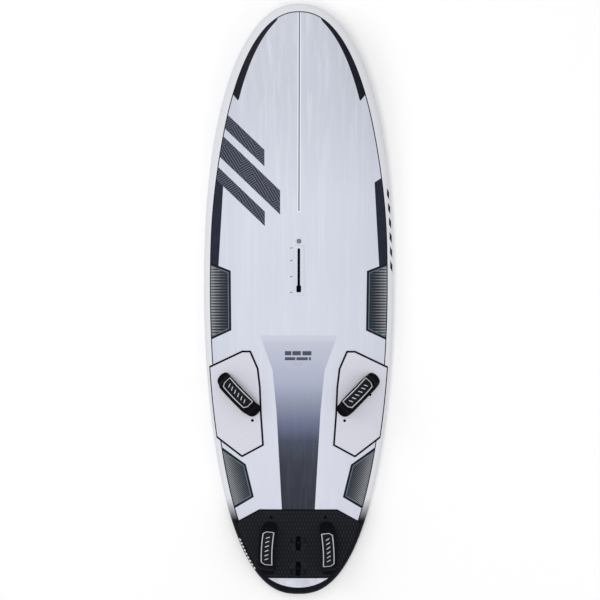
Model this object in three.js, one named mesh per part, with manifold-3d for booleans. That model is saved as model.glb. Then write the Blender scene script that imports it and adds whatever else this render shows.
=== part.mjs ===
// Windsurf board: hollow deck and bottom shells round a foam core, mast track box, fin box, vent,
// three grip pads, four footstraps and their fastenings.
// Millimetres. +X is starboard, +Y points to the nose and +Z is up. The origin is on the floor under
// the middle of the board, which lies on its flat bottom.
import * as THREE from 'three';
import { mergeVertices } from 'three/addons/utils/BufferGeometryUtils.js';
import Module from 'manifold-3d';

const wasm = await Module();
wasm.setup();

// Outline: two half superellipses that meet at the widest point.
const BOARD_LENGTH = 2360;
const HALF_WIDTH = 380;
const WIDE_POINT_Y = 60;
const NOSE_LENGTH = BOARD_LENGTH / 2 - WIDE_POINT_Y;
const TAIL_LENGTH = BOARD_LENGTH / 2 + WIDE_POINT_Y;
const NOSE_OUTLINE = { along: 2.3, across: 2.2, endRounding: 24 };
const TAIL_OUTLINE = { along: 2.0, across: 2.45, endRounding: 40 };
const END_STATIONS = 11;

// Side view: a flat run, a rising nose and a thickness that falls away to both ends.
const MAX_THICKNESS = 118;
const THICKEST_Y = 100;
const NOSE_THICKNESS = 36;
const TAIL_THICKNESS = 55;
const ROCKER_START_Y = 150;
const NOSE_LIFT = 150;
const ROCKER_POWER = 2.3;
const RAIL_SHARE = 0.42;

// Cross-section: a domed deck over a bottom that is flat in the middle and rounds up to the rails.
const DECK_CURVE = { flat: 0, across: 2.6, up: 2.0 };
const BOTTOM_CURVE = { flat: 0.6, across: 2.4, up: 2.2 };
const DECK_STEPS = 12;
const BOTTOM_STEPS = 8;
const GAP = 0.3;
const SKIN = 5;
const CORE_END_INSET = 34;

// Grip pads.
const PAD_THICKNESS = 5;
const FRONT_PAD_RAIL_INSET = 11;
const TAIL_PAD_RAIL_INSET = 12;

// Mast track box, flush with the deck.
const TRACK = { width: 44, length: 198, height: 34, centreY: 120, slotWidth: 10.5, lip: 6 };
const TRACK_CHANNEL = { width: 20, depth: 20, length: 176 };
const TRACK_ENTRY = { width: 19, length: 28 };

// Fin box, open at the bottom, with two bolt holes from the deck.
const FIN_BOX = { width: 34, frontY: -923, backY: -1123, frontTop: 68, backTop: 40 };
const FIN_SLOT = { width: 17, frontY: -938, backY: -1108, roof: 10, taper: 6 };
const FIN_BOLT_Y = [-972, -1075];
const FIN_BOLT_RADIUS = 3.25;
const FIN_POCKET = { width: 20, length: 58 };

// Vent.
const VENT_Y = 236;

// Footstraps: anchors in pairs, a loop that rises over them, and a rounded flap over each one.
const FRONT_ANCHORS = [[288, -322], [184, -430]];
const REAR_ANCHORS = [[110, -916], [118, -1066]];
const SPARE_INSERTS = {
  spare_insert_front_left: [-184, -480],
  spare_insert_front_right_inner: [184, -480],
  spare_insert_front_right_outer: [286, -376],
  spare_insert_rear_left: [-108, -868],
  spare_insert_rear_right: [108, -868],
};
const LOOP = { halfSpan: 76, rise: 36, centreHeight: 34 };
const COVER = { start: -8, middleWidth: 60, extraEndWidth: 5, middleThickness: 15, endThickness: 12 };
const WEBBING = { start: -16, width: 35, thickness: 3, clearance: 0.4 };
const PANEL = { start: 34, width: 43, thickness: 2 };
const FRONT_LEAN = 0;
const REAR_LEAN = 8;
const STRAP_BASE = PAD_THICKNESS + 0.5;

// Fastenings, measured along the deck's normal from the deck's surface.
const SIDES = 8;
const VENT_SIDES = 14;
const INSERT = { radius: 9, top: -2.5, depth: 20, holeRadius: 2.9, holeDepth: 16 };
const ANCHOR_PLATE = { radius: 17, bottom: PAD_THICKNESS + 1.2, thickness: 2.5, holeRadius: 3.4 };
const SCREW = { headRadius: 6.5, headHeight: 4, shankRadius: 2.4, tip: -14.5 };
const PAD_HOLE_RADIUS = 5;
const FLAP = { radius: 32, bottom: PAD_THICKNESS + 0.9, edgeHeight: 2.5, height: 11.5 };

const COLOURS = {
  deck: 0xd2d4dc, bottom: 0xd7d9e1, foam: 0xf1f1ee, box: 0x24262b, vent: 0x8d9096, steel: 0xb9bcc2,
  padGrey: 0xd2d0dc, padBlack: 0x1f2024, cover: 0x15161b, webbing: 0x202126, panel: 0x24262e,
};

const toRadians = THREE.MathUtils.degToRad;

// ---------- hull formulas ----------

// The board's end that a station lies in, and how far along it, from 0 at the wide point to 1.
function endOf(y) {
  const nose = y >= WIDE_POINT_Y;
  const length = nose ? NOSE_LENGTH : TAIL_LENGTH;
  return { curve: nose ? NOSE_OUTLINE : TAIL_OUTLINE, share: Math.min(1, Math.abs(y - WIDE_POINT_Y) / length) };
}

function halfWidthAt(y) {
  const { curve, share } = endOf(y);
  return HALF_WIDTH * (1 - share ** curve.along) ** (1 / curve.across);
}

function thicknessAt(y) {
  const nose = y >= THICKEST_Y;
  const run = nose ? BOARD_LENGTH / 2 - THICKEST_Y : BOARD_LENGTH / 2 + THICKEST_Y;
  const share = Math.min(1, Math.abs(y - THICKEST_Y) / run);
  const loss = nose ? MAX_THICKNESS - NOSE_THICKNESS : MAX_THICKNESS - TAIL_THICKNESS;
  return MAX_THICKNESS - loss * share ** (nose ? 2.6 : 2.2);
}

function rockerAt(y) {
  const share = Math.max(0, y - ROCKER_START_Y) / (BOARD_LENGTH / 2 - ROCKER_START_Y);
  return NOSE_LIFT * share ** ROCKER_POWER;
}

function railHeightAt(y) {
  return rockerAt(y) + RAIL_SHARE * thicknessAt(y);
}

function endRoundingAt(y) {
  const { curve, share } = endOf(y);
  return Math.sqrt(Math.max(0, 1 - share ** curve.endRounding));
}

function archShare(curve, u) {
  const past = Math.max(0, Math.abs(u) - curve.flat) / (1 - curve.flat);
  return Math.max(0, 1 - past ** curve.across) ** (1 / curve.up);
}

function deckHeight(x, y) {
  const above = (1 - RAIL_SHARE) * thicknessAt(y) * endRoundingAt(y);
  return railHeightAt(y) + above * archShare(DECK_CURVE, x / halfWidthAt(y));
}

function deckNormal(x, y) {
  const step = 6;
  const slopeX = (deckHeight(x + step, y) - deckHeight(x - step, y)) / (2 * step);
  const slopeY = (deckHeight(x, y + step) - deckHeight(x, y - step)) / (2 * step);
  return new THREE.Vector3(-slopeX, -slopeY, 1).normalize();
}

// ---------- solids ----------

// A closed surface through equal rings of points, ended by an apex point or by a flat cap.
function loft(rings, apexes = []) {
  const positions = rings.flat().flatMap((point) => point.toArray());
  const count = rings[0].length;
  const faces = [];
  for (let ring = 0; ring < rings.length - 1; ring += 1) {
    for (let i = 0; i < count; i += 1) {
      const a = ring * count + i;
      const b = ring * count + ((i + 1) % count);
      faces.push(a, b, b + count, a, b + count, a + count);
    }
  }
  const lastRing = (rings.length - 1) * count;
  const ends = apexes.length ? apexes : [ringCentre(rings[0]), ringCentre(rings.at(-1))];
  ends.forEach((end) => positions.push(...end.toArray()));
  const first = rings.length * count;
  for (let i = 0; i < count; i += 1) {
    const next = (i + 1) % count;
    faces.push(first, next, i);
    faces.push(first + 1, lastRing + i, lastRing + next);
  }
  const geometry = new THREE.BufferGeometry();
  geometry.setAttribute('position', new THREE.Float32BufferAttribute(positions, 3));
  geometry.setIndex(signedVolume(positions, faces) > 0 ? faces : faces.reverse());
  return geometry;
}

function ringCentre(ring) {
  const sum = ring.reduce((total, point) => total.add(point), new THREE.Vector3());
  return sum.divideScalar(ring.length);
}

function signedVolume(positions, faces) {
  const corner = (index) => new THREE.Vector3().fromArray(positions, index * 3);
  let volume = 0;
  for (let i = 0; i < faces.length; i += 3) {
    volume += corner(faces[i]).dot(corner(faces[i + 1]).cross(corner(faces[i + 2])));
  }
  return volume;
}

function toManifold(geometry) {
  const bare = geometry.clone();
  bare.deleteAttribute('normal');
  bare.deleteAttribute('uv');
  const merged = mergeVertices(bare, 1e-4);
  const vertProperties = new Float32Array(merged.attributes.position.array);
  const triVerts = new Uint32Array(merged.index.array);
  return new wasm.Manifold(new wasm.Mesh({ numProp: 3, vertProperties, triVerts }));
}

function toGeometry(manifold) {
  const { vertProperties, triVerts } = manifold.getMesh();
  const geometry = new THREE.BufferGeometry();
  geometry.setAttribute('position', new THREE.BufferAttribute(new Float32Array(vertProperties), 3));
  geometry.setIndex(new THREE.BufferAttribute(new Uint32Array(triVerts), 1));
  geometry.computeVertexNormals();
  return geometry;
}

function cut(geometry, cutters) {
  const solid = cutters.reduce((rest, cutter) => rest.subtract(toManifold(cutter)), toManifold(geometry));
  return toGeometry(solid);
}

function common(first, second) {
  return toGeometry(toManifold(first).intersect(toManifold(second)));
}

function box(width, length, height, x, y, bottom) {
  return new THREE.BoxGeometry(width, length, height).translate(x, y, bottom + height / 2);
}

function lathe(profile, sides = SIDES) {
  const points = profile.map(([radius, height]) => new THREE.Vector2(radius, height));
  return new THREE.LatheGeometry(points, sides).rotateX(Math.PI / 2);
}

// An upright prism over a closed plan outline.
function prism(points, bottom, top) {
  const shape = new THREE.Shape(points.map(([x, y]) => new THREE.Vector2(x, y)));
  const options = { depth: top - bottom, bevelEnabled: false };
  return new THREE.ExtrudeGeometry(shape, options).translate(0, 0, bottom);
}

function ovalPrism(width, length, x, y, bottom, top) {
  const shape = new THREE.Shape();
  const radius = width / 2;
  const straight = length / 2 - radius;
  shape.absarc(x, y + straight, radius, 0, Math.PI, false);
  shape.absarc(x, y - straight, radius, Math.PI, 2 * Math.PI, false);
  const options = { depth: top - bottom, bevelEnabled: false, curveSegments: 6 };
  return new THREE.ExtrudeGeometry(shape, options).translate(0, 0, bottom);
}

// ---------- hull ----------

// Stations from the tail to the nose, close together where the outline turns.
// The skin and endInset are 0 on the outside and positive on a surface inside it.
function hullStations(skin, endInset) {
  const stations = [];
  for (let i = -END_STATIONS; i <= END_STATIONS; i += 1) {
    const angle = (Math.abs(i) / END_STATIONS) * (Math.PI / 2);
    const curve = i >= 0 ? NOSE_OUTLINE : TAIL_OUTLINE;
    const length = (i >= 0 ? NOSE_LENGTH : TAIL_LENGTH) - endInset;
    const along = Math.sin(angle) ** (2 / curve.along);
    const y = WIDE_POINT_Y + Math.sign(i) * length * along;
    const rounding = Math.sqrt(Math.max(0, 1 - along ** curve.endRounding));
    const width = (HALF_WIDTH - skin) * Math.max(0, Math.cos(angle)) ** (2 / curve.across);
    const up = ((1 - RAIL_SHARE) * thicknessAt(y) - skin) * rounding;
    const down = (RAIL_SHARE * thicknessAt(y) - skin) * rounding;
    stations.push({ y, width, up, down, rail: railHeightAt(y) });
  }
  return stations;
}

// Half of a section, from port to starboard, as points of a superellipse arch.
function sectionArch(station, curve, steps, height) {
  const starboard = [];
  for (let i = 0; i <= steps / 2; i += 1) {
    const angle = (Math.PI * i) / steps;
    const past = Math.max(0, Math.cos(angle)) ** (2 / curve.across);
    const u = curve.flat + (1 - curve.flat) * past;
    const z = station.rail + (i === 0 ? 0 : height * archShare(curve, u));
    starboard.push(new THREE.Vector3(u * station.width, station.y, z));
  }
  const port = starboard.map((point) => point.clone().setX(-point.x));
  if (curve.flat === 0) {
    port.pop();
    starboard.at(-1).setX(0);
  }
  return [...port, ...starboard.reverse()];
}

function apexOf(station, lift) {
  return new THREE.Vector3(0, station.y, station.rail + lift);
}

// The whole body, rail to rail above and below.
function wholeHull(skin, endInset) {
  const stations = hullStations(skin, endInset);
  const rings = stations.slice(1, -1).map((station) => {
    const deck = sectionArch(station, DECK_CURVE, DECK_STEPS, station.up);
    const bottom = sectionArch(station, BOTTOM_CURVE, BOTTOM_STEPS, -station.down);
    return [...deck, ...bottom.reverse().slice(1, -1)];
  });
  return loft(rings, [apexOf(stations[0], 0), apexOf(stations.at(-1), 0)]);
}

// One half of the body, closed by a surface along the rail line; side is 1 above and -1 below.
function halfHull(side) {
  const stations = hullStations(0, 0);
  const lift = (side * GAP) / 2;
  const curve = side > 0 ? DECK_CURVE : BOTTOM_CURVE;
  const steps = side > 0 ? DECK_STEPS : BOTTOM_STEPS;
  const rings = stations.slice(1, -1).map((station) => {
    const height = side > 0 ? station.up : -station.down;
    const lifted = { ...station, rail: station.rail + lift };
    return sectionArch(lifted, curve, steps, height - lift);
  });
  return loft(rings, [apexOf(stations[0], lift), apexOf(stations.at(-1), lift)]);
}

// Everything under a surface that follows the deck at a height above it, down to below the rail line.
function underDeck(height, depth) {
  const rings = hullStations(0, 0).slice(1, -1).map((station) => {
    const arch = sectionArch(station, DECK_CURVE, DECK_STEPS, station.up);
    arch.forEach((point) => point.setZ(point.z + height));
    const feet = [1, -1].map((side) => new THREE.Vector3(side * station.width, station.y, station.rail - depth));
    return [...arch, ...feet];
  });
  return loft(rings);
}

// A layer over the deck, between two heights above it.
function deckLayer(bottom, top) {
  return cut(underDeck(top, 20), [underDeck(bottom, 30)]);
}

// ---------- fittings let into the hull ----------

function trackTop() {
  return deckHeight(0, TRACK.centreY) - 0.3;
}

function trackCutter() {
  const grown = 2 * GAP;
  return box(TRACK.width + grown, TRACK.length + grown, 80, 0, TRACK.centreY, trackTop() - TRACK.height - GAP);
}

function mastTrackBox() {
  const top = trackTop();
  const bodyBox = box(TRACK.width, TRACK.length, TRACK.height, 0, TRACK.centreY, top - TRACK.height);
  const channelBottom = top - TRACK.lip - TRACK_CHANNEL.depth;
  const channel = box(
    TRACK_CHANNEL.width, TRACK_CHANNEL.length, TRACK_CHANNEL.depth, 0, TRACK.centreY, channelBottom,
  );
  const slot = box(TRACK.slotWidth, TRACK_CHANNEL.length, 2 * TRACK.lip, 0, TRACK.centreY, top - TRACK.lip - 1);
  const entryY = TRACK.centreY - TRACK_CHANNEL.length / 2 + TRACK_ENTRY.length / 2;
  const entry = box(TRACK_ENTRY.width, TRACK_ENTRY.length, 2 * TRACK.lip, 0, entryY, top - TRACK.lip - 1);
  return cut(bodyBox, [channel, slot, entry]);
}

// A solid of the fin box's side view, grown by a margin, from one side of the board's middle to the other.
function sideProfile(points, width) {
  const shape = new THREE.Shape(points.map(([y, z]) => new THREE.Vector2(y, z)));
  const geometry = new THREE.ExtrudeGeometry(shape, { depth: width, bevelEnabled: false });
  const turn = new THREE.Matrix4().makeBasis(
    new THREE.Vector3(0, 1, 0), new THREE.Vector3(0, 0, 1), new THREE.Vector3(1, 0, 0),
  );
  return geometry.applyMatrix4(turn).translate(-width / 2, 0, 0);
}

function finBoxBlock(margin, bottom) {
  const front = FIN_BOX.frontY + margin;
  const back = FIN_BOX.backY - margin;
  return sideProfile(
    [[back, bottom], [front, bottom], [front, FIN_BOX.frontTop + margin], [back, FIN_BOX.backTop + margin]],
    FIN_BOX.width + 2 * margin,
  );
}

function finBox() {
  const roofFront = FIN_BOX.frontTop - FIN_SLOT.roof;
  const roofBack = FIN_BOX.backTop - FIN_SLOT.roof;
  const slot = sideProfile(
    [
      [FIN_SLOT.backY, -1],
      [FIN_SLOT.frontY, -1],
      [FIN_SLOT.frontY - FIN_SLOT.taper, roofFront],
      [FIN_SLOT.backY + FIN_SLOT.taper, roofBack],
    ],
    FIN_SLOT.width,
  );
  const holes = FIN_BOLT_Y.map((y) => {
    const hole = new THREE.CylinderGeometry(FIN_BOLT_RADIUS, FIN_BOLT_RADIUS, 60, SIDES);
    return hole.rotateX(Math.PI / 2).translate(0, y, 70);
  });
  return cut(finBoxBlock(0, 0), [slot, ...holes]);
}

// The oval pockets through pad and deck that the fin bolts go down.
function finPockets(margin) {
  const { width, length } = FIN_POCKET;
  return FIN_BOLT_Y.map((y) => ovalPrism(width + 2 * margin, length + 2 * margin, 0, y, 44, 120));
}

function ventHousing() {
  return lathe([
    [0, -18], [10, -18], [10, -3], [13, -3], [13, -0.4], [9, -0.4], [9, -2.2], [7.2, -2.2], [7.2, -4.2],
    [4.3, -4.2], [4.3, -15], [0, -15],
  ], VENT_SIDES);
}

function ventCutter() {
  return lathe([[0, -18.3], [10.3, -18.3], [10.3, -3.3], [13.3, -3.3], [13.3, 20], [0, 20]], VENT_SIDES);
}

function ventSeal() {
  return new THREE.TorusGeometry(5.8, 0.8, 5, VENT_SIDES).translate(0, 0, -3.0);
}

function ventScrew() {
  return lathe([
    [0, -14], [3, -14], [3.8, -12.5], [3.8, -1.8], [8, -1.8], [8, -0.2], [7.3, 0.5], [2.9, 0.5], [2.9, -0.9],
    [0, -0.9],
  ], VENT_SIDES);
}

function insertBody() {
  const { radius, top, depth, holeRadius, holeDepth } = INSERT;
  return lathe([
    [0, top - depth], [radius, top - depth], [radius, top], [holeRadius, top], [holeRadius, top - holeDepth],
    [0, top - holeDepth],
  ]);
}

function insertCutter() {
  const radius = INSERT.radius + 0.4;
  const bottom = INSERT.top - INSERT.depth - GAP;
  return lathe([[0, bottom], [radius, bottom], [radius, 12], [0, 12]]);
}

function padHoleCutter() {
  return lathe([[0, -6], [PAD_HOLE_RADIUS, -6], [PAD_HOLE_RADIUS, 20], [0, 20]]);
}

function anchorPlate() {
  const { radius, bottom, thickness, holeRadius } = ANCHOR_PLATE;
  const top = bottom + thickness;
  return lathe([
    [holeRadius, bottom], [radius, bottom], [radius, top - 0.8], [radius - 1, top], [holeRadius, top],
    [holeRadius, bottom],
  ], 10);
}

function anchorScrew() {
  const under = ANCHOR_PLATE.bottom + ANCHOR_PLATE.thickness + GAP;
  const top = under + SCREW.headHeight;
  return lathe([
    [0, SCREW.tip], [SCREW.shankRadius, SCREW.tip + 2], [SCREW.shankRadius, under], [SCREW.headRadius, under],
    [SCREW.headRadius, under + 2], [SCREW.headRadius - 1.5, top], [2.5, top], [2.2, top - 2], [0, top - 2.2],
  ]);
}

// The end of a strap's padding: a low dome that hides the plate and the screw under it.
function anchorFlap() {
  const { radius, bottom, edgeHeight, height } = FLAP;
  const plateTop = ANCHOR_PLATE.bottom + ANCHOR_PLATE.thickness + 0.5;
  const plateSpace = ANCHOR_PLATE.radius + 0.7;
  const screwTop = plateTop + SCREW.headHeight + 0.5;
  const screwSpace = SCREW.headRadius + 0.7;
  return lathe([
    [0, screwTop], [screwSpace, screwTop], [screwSpace, plateTop], [plateSpace, plateTop], [plateSpace, bottom],
    [radius, bottom], [radius, bottom + edgeHeight], [radius * 0.86, bottom + height * 0.62],
    [radius * 0.55, bottom + height * 0.92], [0, bottom + height],
  ], 16);
}

// ---------- pads ----------

// Points along the outline at a given inset, from one station to another.
function railRun(startY, endY, inset, steps) {
  const points = [];
  for (let i = 0; i <= steps; i += 1) {
    const y = startY + ((endY - startY) * i) / steps;
    points.push([halfWidthAt(y) - inset, y]);
  }
  return points;
}

function frontPad(side, holes) {
  const outline = [
    ...railRun(-551, -264, FRONT_PAD_RAIL_INSET, 8),
    [226, -201], [191, -201], [160, -272], [151, -348], [147, -450], [138, -580], [226, -628],
  ];
  const points = outline.map(([x, y]) => [side * x, y]);
  const pad = common(deckLayer(GAP, GAP + PAD_THICKNESS), prism(points, 0, 200));
  return cut(pad, holes);
}

function tailPad(holes) {
  const sides = railRun(-1072, -890, TAIL_PAD_RAIL_INSET, 8);
  const starboard = [[124, -1112], ...sides, [156, -836]];
  const points = [...starboard, ...starboard.map(([x, y]) => [-x, y]).reverse()];
  const pad = common(deckLayer(GAP, GAP + PAD_THICKNESS), prism(points, 0, 200));
  return cut(pad, [...holes, ...finPockets(1)]);
}

// ---------- footstraps ----------

// The loop's middle line in its own frame: x along the span, z up from the pad.
function loopPoint(angle) {
  const x = LOOP.halfSpan * Math.cos(angle);
  return new THREE.Vector3(x, 0, LOOP.centreHeight + LOOP.rise * Math.sin(angle));
}

function loopNormal(angle) {
  return new THREE.Vector3(Math.cos(angle) / LOOP.halfSpan, 0, Math.sin(angle) / LOOP.rise).normalize();
}

// A strip along the loop, from a start angle to its mirror image, with rounded-off sides.
function loopStrip({ start, steps, sides, squareness, sizeAt }) {
  const rings = [];
  for (let i = 0; i <= steps; i += 1) {
    const angle = toRadians(start + ((180 - 2 * start) * i) / steps);
    const { width, thickness, offset } = sizeAt(angle);
    const normal = loopNormal(angle);
    const centre = loopPoint(angle).addScaledVector(normal, offset);
    const ring = [];
    for (let k = 0; k < sides; k += 1) {
      const turn = (2 * Math.PI * (k + 0.5)) / sides;
      const across = Math.sign(Math.cos(turn)) * Math.abs(Math.cos(turn)) ** squareness;
      const out = Math.sign(Math.sin(turn)) * Math.abs(Math.sin(turn)) ** squareness;
      const point = centre.clone().addScaledVector(normal, (out * thickness) / 2);
      ring.push(point.setY((across * width) / 2));
    }
    rings.push(ring);
  }
  return loft(rings);
}

function coverThickness(angle) {
  const share = Math.abs(Math.cos(angle)) ** 2;
  return COVER.middleThickness + (COVER.endThickness - COVER.middleThickness) * share;
}

function webbingStrip(start, margin) {
  const width = WEBBING.width + 2 * margin;
  const thickness = WEBBING.thickness + 2 * margin;
  const square = Math.SQRT2;
  const sizeAt = () => ({ width: width * square, thickness: thickness * square, offset: 0 });
  return loopStrip({ start, steps: 12, sides: 4, squareness: 1, sizeAt });
}

function strapWebbing() {
  return webbingStrip(WEBBING.start, 0);
}

function strapCover() {
  const sizeAt = (angle) => ({
    width: COVER.middleWidth + COVER.extraEndWidth * Math.abs(Math.cos(angle)) ** 2,
    thickness: coverThickness(angle),
    offset: 0,
  });
  const outside = loopStrip({ start: COVER.start, steps: 12, sides: 10, squareness: 0.7, sizeAt });
  return cut(outside, [webbingStrip(COVER.start - 8, WEBBING.clearance)]);
}

function strapPanel() {
  const square = Math.SQRT2;
  const sizeAt = (angle) => ({
    width: PANEL.width * square,
    thickness: PANEL.thickness * square,
    offset: coverThickness(angle) / 2 + 0.5 + PANEL.thickness / 2,
  });
  return loopStrip({ start: PANEL.start, steps: 10, sides: 4, squareness: 1, sizeAt });
}

// ---------- placing ----------

function deckFrame(x, y) {
  const up = new THREE.Vector3(0, 0, 1);
  const quaternion = new THREE.Quaternion().setFromUnitVectors(up, deckNormal(x, y));
  return { position: new THREE.Vector3(x, y, deckHeight(x, y)), quaternion };
}

function placed(geometry, frame) {
  const matrix = new THREE.Matrix4().compose(frame.position, frame.quaternion, new THREE.Vector3(1, 1, 1));
  return geometry.applyMatrix4(matrix);
}

// A strap's frame: x from its first anchor to its second, z up and leaning away from the middle line.
function strapFrame(anchors, leanDegrees) {
  const bases = anchors.map(([x, y]) => {
    const frame = deckFrame(x, y);
    const normal = new THREE.Vector3(0, 0, 1).applyQuaternion(frame.quaternion);
    return { point: frame.position.addScaledVector(normal, STRAP_BASE), normal };
  });
  const position = bases[0].point.clone().add(bases[1].point).divideScalar(2);
  const span = bases[1].point.clone().sub(bases[0].point).normalize();
  const up = bases[0].normal.clone().add(bases[1].normal);
  up.addScaledVector(span, -up.dot(span)).normalize();
  const outboard = Math.sign(position.x);
  const sideways = new THREE.Vector3(outboard, 0, 0);
  const turnSign = Math.sign(new THREE.Vector3().crossVectors(up, sideways).dot(span));
  up.applyAxisAngle(span, turnSign * toRadians(leanDegrees));
  const across = new THREE.Vector3().crossVectors(up, span);
  const matrix = new THREE.Matrix4().makeBasis(span, across, up);
  return { position, quaternion: new THREE.Quaternion().setFromRotationMatrix(matrix) };
}

function named(name, geometry, colour, roughness, metalness = 0) {
  const material = new THREE.MeshStandardMaterial({ color: colour, roughness, metalness });
  const mesh = new THREE.Mesh(geometry, material);
  mesh.name = name;
  return mesh;
}

function framedGroup(frame, meshes) {
  const group = new THREE.Group();
  group.position.copy(frame.position);
  group.quaternion.copy(frame.quaternion);
  group.add(...meshes);
  return group;
}

function strapAssembly(name, anchors, lean) {
  const strap = framedGroup(strapFrame(anchors, lean), [
    named(`${name}_webbing`, strapWebbing(), COLOURS.webbing, 0.8),
    named(`${name}_cover`, strapCover(), COLOURS.cover, 0.75),
    named(`${name}_panel`, strapPanel(), COLOURS.panel, 0.6),
  ]);
  const ends = ['front', 'rear'].map((end, index) => framedGroup(deckFrame(...anchors[index]), [
    named(`${name}_${end}_plate`, anchorPlate(), COLOURS.box, 0.5),
    named(`${name}_${end}_screw`, anchorScrew(), COLOURS.steel, 0.3, 1),
    named(`${name}_${end}_insert`, insertBody(), COLOURS.box, 0.6),
    named(`${name}_${end}_flap`, anchorFlap(), COLOURS.cover, 0.75),
  ]));
  return [strap, ...ends];
}

const mirrored = (points) => points.map(([x, y]) => [-x, y]);

const straps = {
  front_left_strap: { anchors: mirrored(FRONT_ANCHORS), lean: FRONT_LEAN },
  front_right_strap: { anchors: FRONT_ANCHORS, lean: FRONT_LEAN },
  rear_left_strap: { anchors: mirrored(REAR_ANCHORS), lean: REAR_LEAN },
  rear_right_strap: { anchors: REAR_ANCHORS, lean: REAR_LEAN },
};

const insertPlaces = [
  ...Object.values(straps).flatMap((strap) => strap.anchors),
  ...Object.values(SPARE_INSERTS),
];
const insertHoles = () => insertPlaces.map(([x, y]) => placed(insertCutter(), deckFrame(x, y)));
const padHoles = () => insertPlaces.map(([x, y]) => placed(padHoleCutter(), deckFrame(x, y)));
const ventFrame = { position: new THREE.Vector3(0, VENT_Y, deckHeight(0, VENT_Y)), quaternion: new THREE.Quaternion() };

const coreSpace = () => wholeHull(SKIN - GAP / 2, CORE_END_INSET - GAP);
const deckCutters = () => [...insertHoles(), trackCutter(), placed(ventCutter(), ventFrame), ...finPockets(0)];

const board = new THREE.Group();
board.add(
  named('deck_shell', cut(halfHull(1), [coreSpace(), ...deckCutters()]), COLOURS.deck, 0.45),
  named('bottom_shell', cut(halfHull(-1), [coreSpace(), finBoxBlock(GAP, -5)]), COLOURS.bottom, 0.35),
  named(
    'foam_core',
    cut(wholeHull(SKIN + GAP / 2, CORE_END_INSET), [...deckCutters(), finBoxBlock(GAP, -5)]),
    COLOURS.foam,
    0.9,
  ),
  named('mast_track_box', mastTrackBox(), COLOURS.box, 0.5),
  named('fin_box', finBox(), COLOURS.box, 0.5),
  named('front_left_pad', frontPad(-1, padHoles()), COLOURS.padGrey, 0.9),
  named('front_right_pad', frontPad(1, padHoles()), COLOURS.padGrey, 0.9),
  named('tail_pad', tailPad(padHoles()), COLOURS.padBlack, 0.9),
  framedGroup(ventFrame, [
    named('vent_housing', ventHousing(), COLOURS.box, 0.5),
    named('vent_seal', ventSeal(), COLOURS.webbing, 0.8),
    named('vent_screw', ventScrew(), COLOURS.vent, 0.35, 1),
  ]),
);
Object.entries(straps).forEach(([name, { anchors, lean }]) => board.add(...strapAssembly(name, anchors, lean)));
Object.entries(SPARE_INSERTS).forEach(([name, [x, y]]) => {
  board.add(framedGroup(deckFrame(x, y), [named(name, insertBody(), COLOURS.box, 0.6)]));
});

export default board;
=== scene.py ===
"""Looks of the windsurf board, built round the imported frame.

The hull's formulas are worked in millimetres, with +X to starboard, +Y to the nose and +Z up, as in
the frame. Meshes are written in metres.
"""
import math

import bmesh
import bpy
import numpy as np
from mathutils import Matrix, Vector
from mathutils.bvhtree import BVHTree
from mathutils.geometry import delaunay_2d_cdt


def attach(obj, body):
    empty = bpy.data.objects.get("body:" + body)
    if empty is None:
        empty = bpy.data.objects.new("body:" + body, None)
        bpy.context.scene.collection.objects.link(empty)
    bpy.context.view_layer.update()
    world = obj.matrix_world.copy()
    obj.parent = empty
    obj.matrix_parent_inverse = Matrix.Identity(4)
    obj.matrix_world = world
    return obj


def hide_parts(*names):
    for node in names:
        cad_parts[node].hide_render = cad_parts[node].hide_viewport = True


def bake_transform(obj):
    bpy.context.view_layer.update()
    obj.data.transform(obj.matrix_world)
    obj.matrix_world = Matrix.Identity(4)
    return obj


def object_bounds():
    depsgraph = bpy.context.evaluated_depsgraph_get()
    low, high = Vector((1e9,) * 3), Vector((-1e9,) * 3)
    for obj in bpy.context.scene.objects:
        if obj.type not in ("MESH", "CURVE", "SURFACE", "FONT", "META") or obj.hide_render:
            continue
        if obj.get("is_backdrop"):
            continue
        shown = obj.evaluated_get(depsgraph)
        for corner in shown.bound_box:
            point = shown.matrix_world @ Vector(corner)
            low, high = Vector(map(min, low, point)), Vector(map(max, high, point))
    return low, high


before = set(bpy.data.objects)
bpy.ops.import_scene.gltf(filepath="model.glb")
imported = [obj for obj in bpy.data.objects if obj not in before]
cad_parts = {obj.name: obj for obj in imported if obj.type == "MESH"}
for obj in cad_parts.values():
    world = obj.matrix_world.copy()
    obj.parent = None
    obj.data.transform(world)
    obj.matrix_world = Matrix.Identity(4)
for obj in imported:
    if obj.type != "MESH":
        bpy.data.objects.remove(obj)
CAD_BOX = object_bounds()

MM = 0.001

# Hull, as the frame has it.
BOARD_LENGTH = 2360.0
HALF_WIDTH = 380.0
WIDE_POINT_Y = 60.0
NOSE_LENGTH = BOARD_LENGTH / 2 - WIDE_POINT_Y
TAIL_LENGTH = BOARD_LENGTH / 2 + WIDE_POINT_Y
NOSE_CURVE = (2.3, 2.2, 24.0)
TAIL_CURVE = (2.0, 2.45, 40.0)
MAX_THICKNESS = 118.0
THICKEST_Y = 100.0
NOSE_THICKNESS = 36.0
TAIL_THICKNESS = 55.0
ROCKER_START_Y = 150.0
NOSE_LIFT = 150.0
ROCKER_POWER = 2.3
RAIL_SHARE = 0.42
DECK_ARCH = (0.0, 2.6, 2.0)
BOTTOM_ARCH = (0.6, 2.4, 2.2)
SKIN = 3.0

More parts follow.
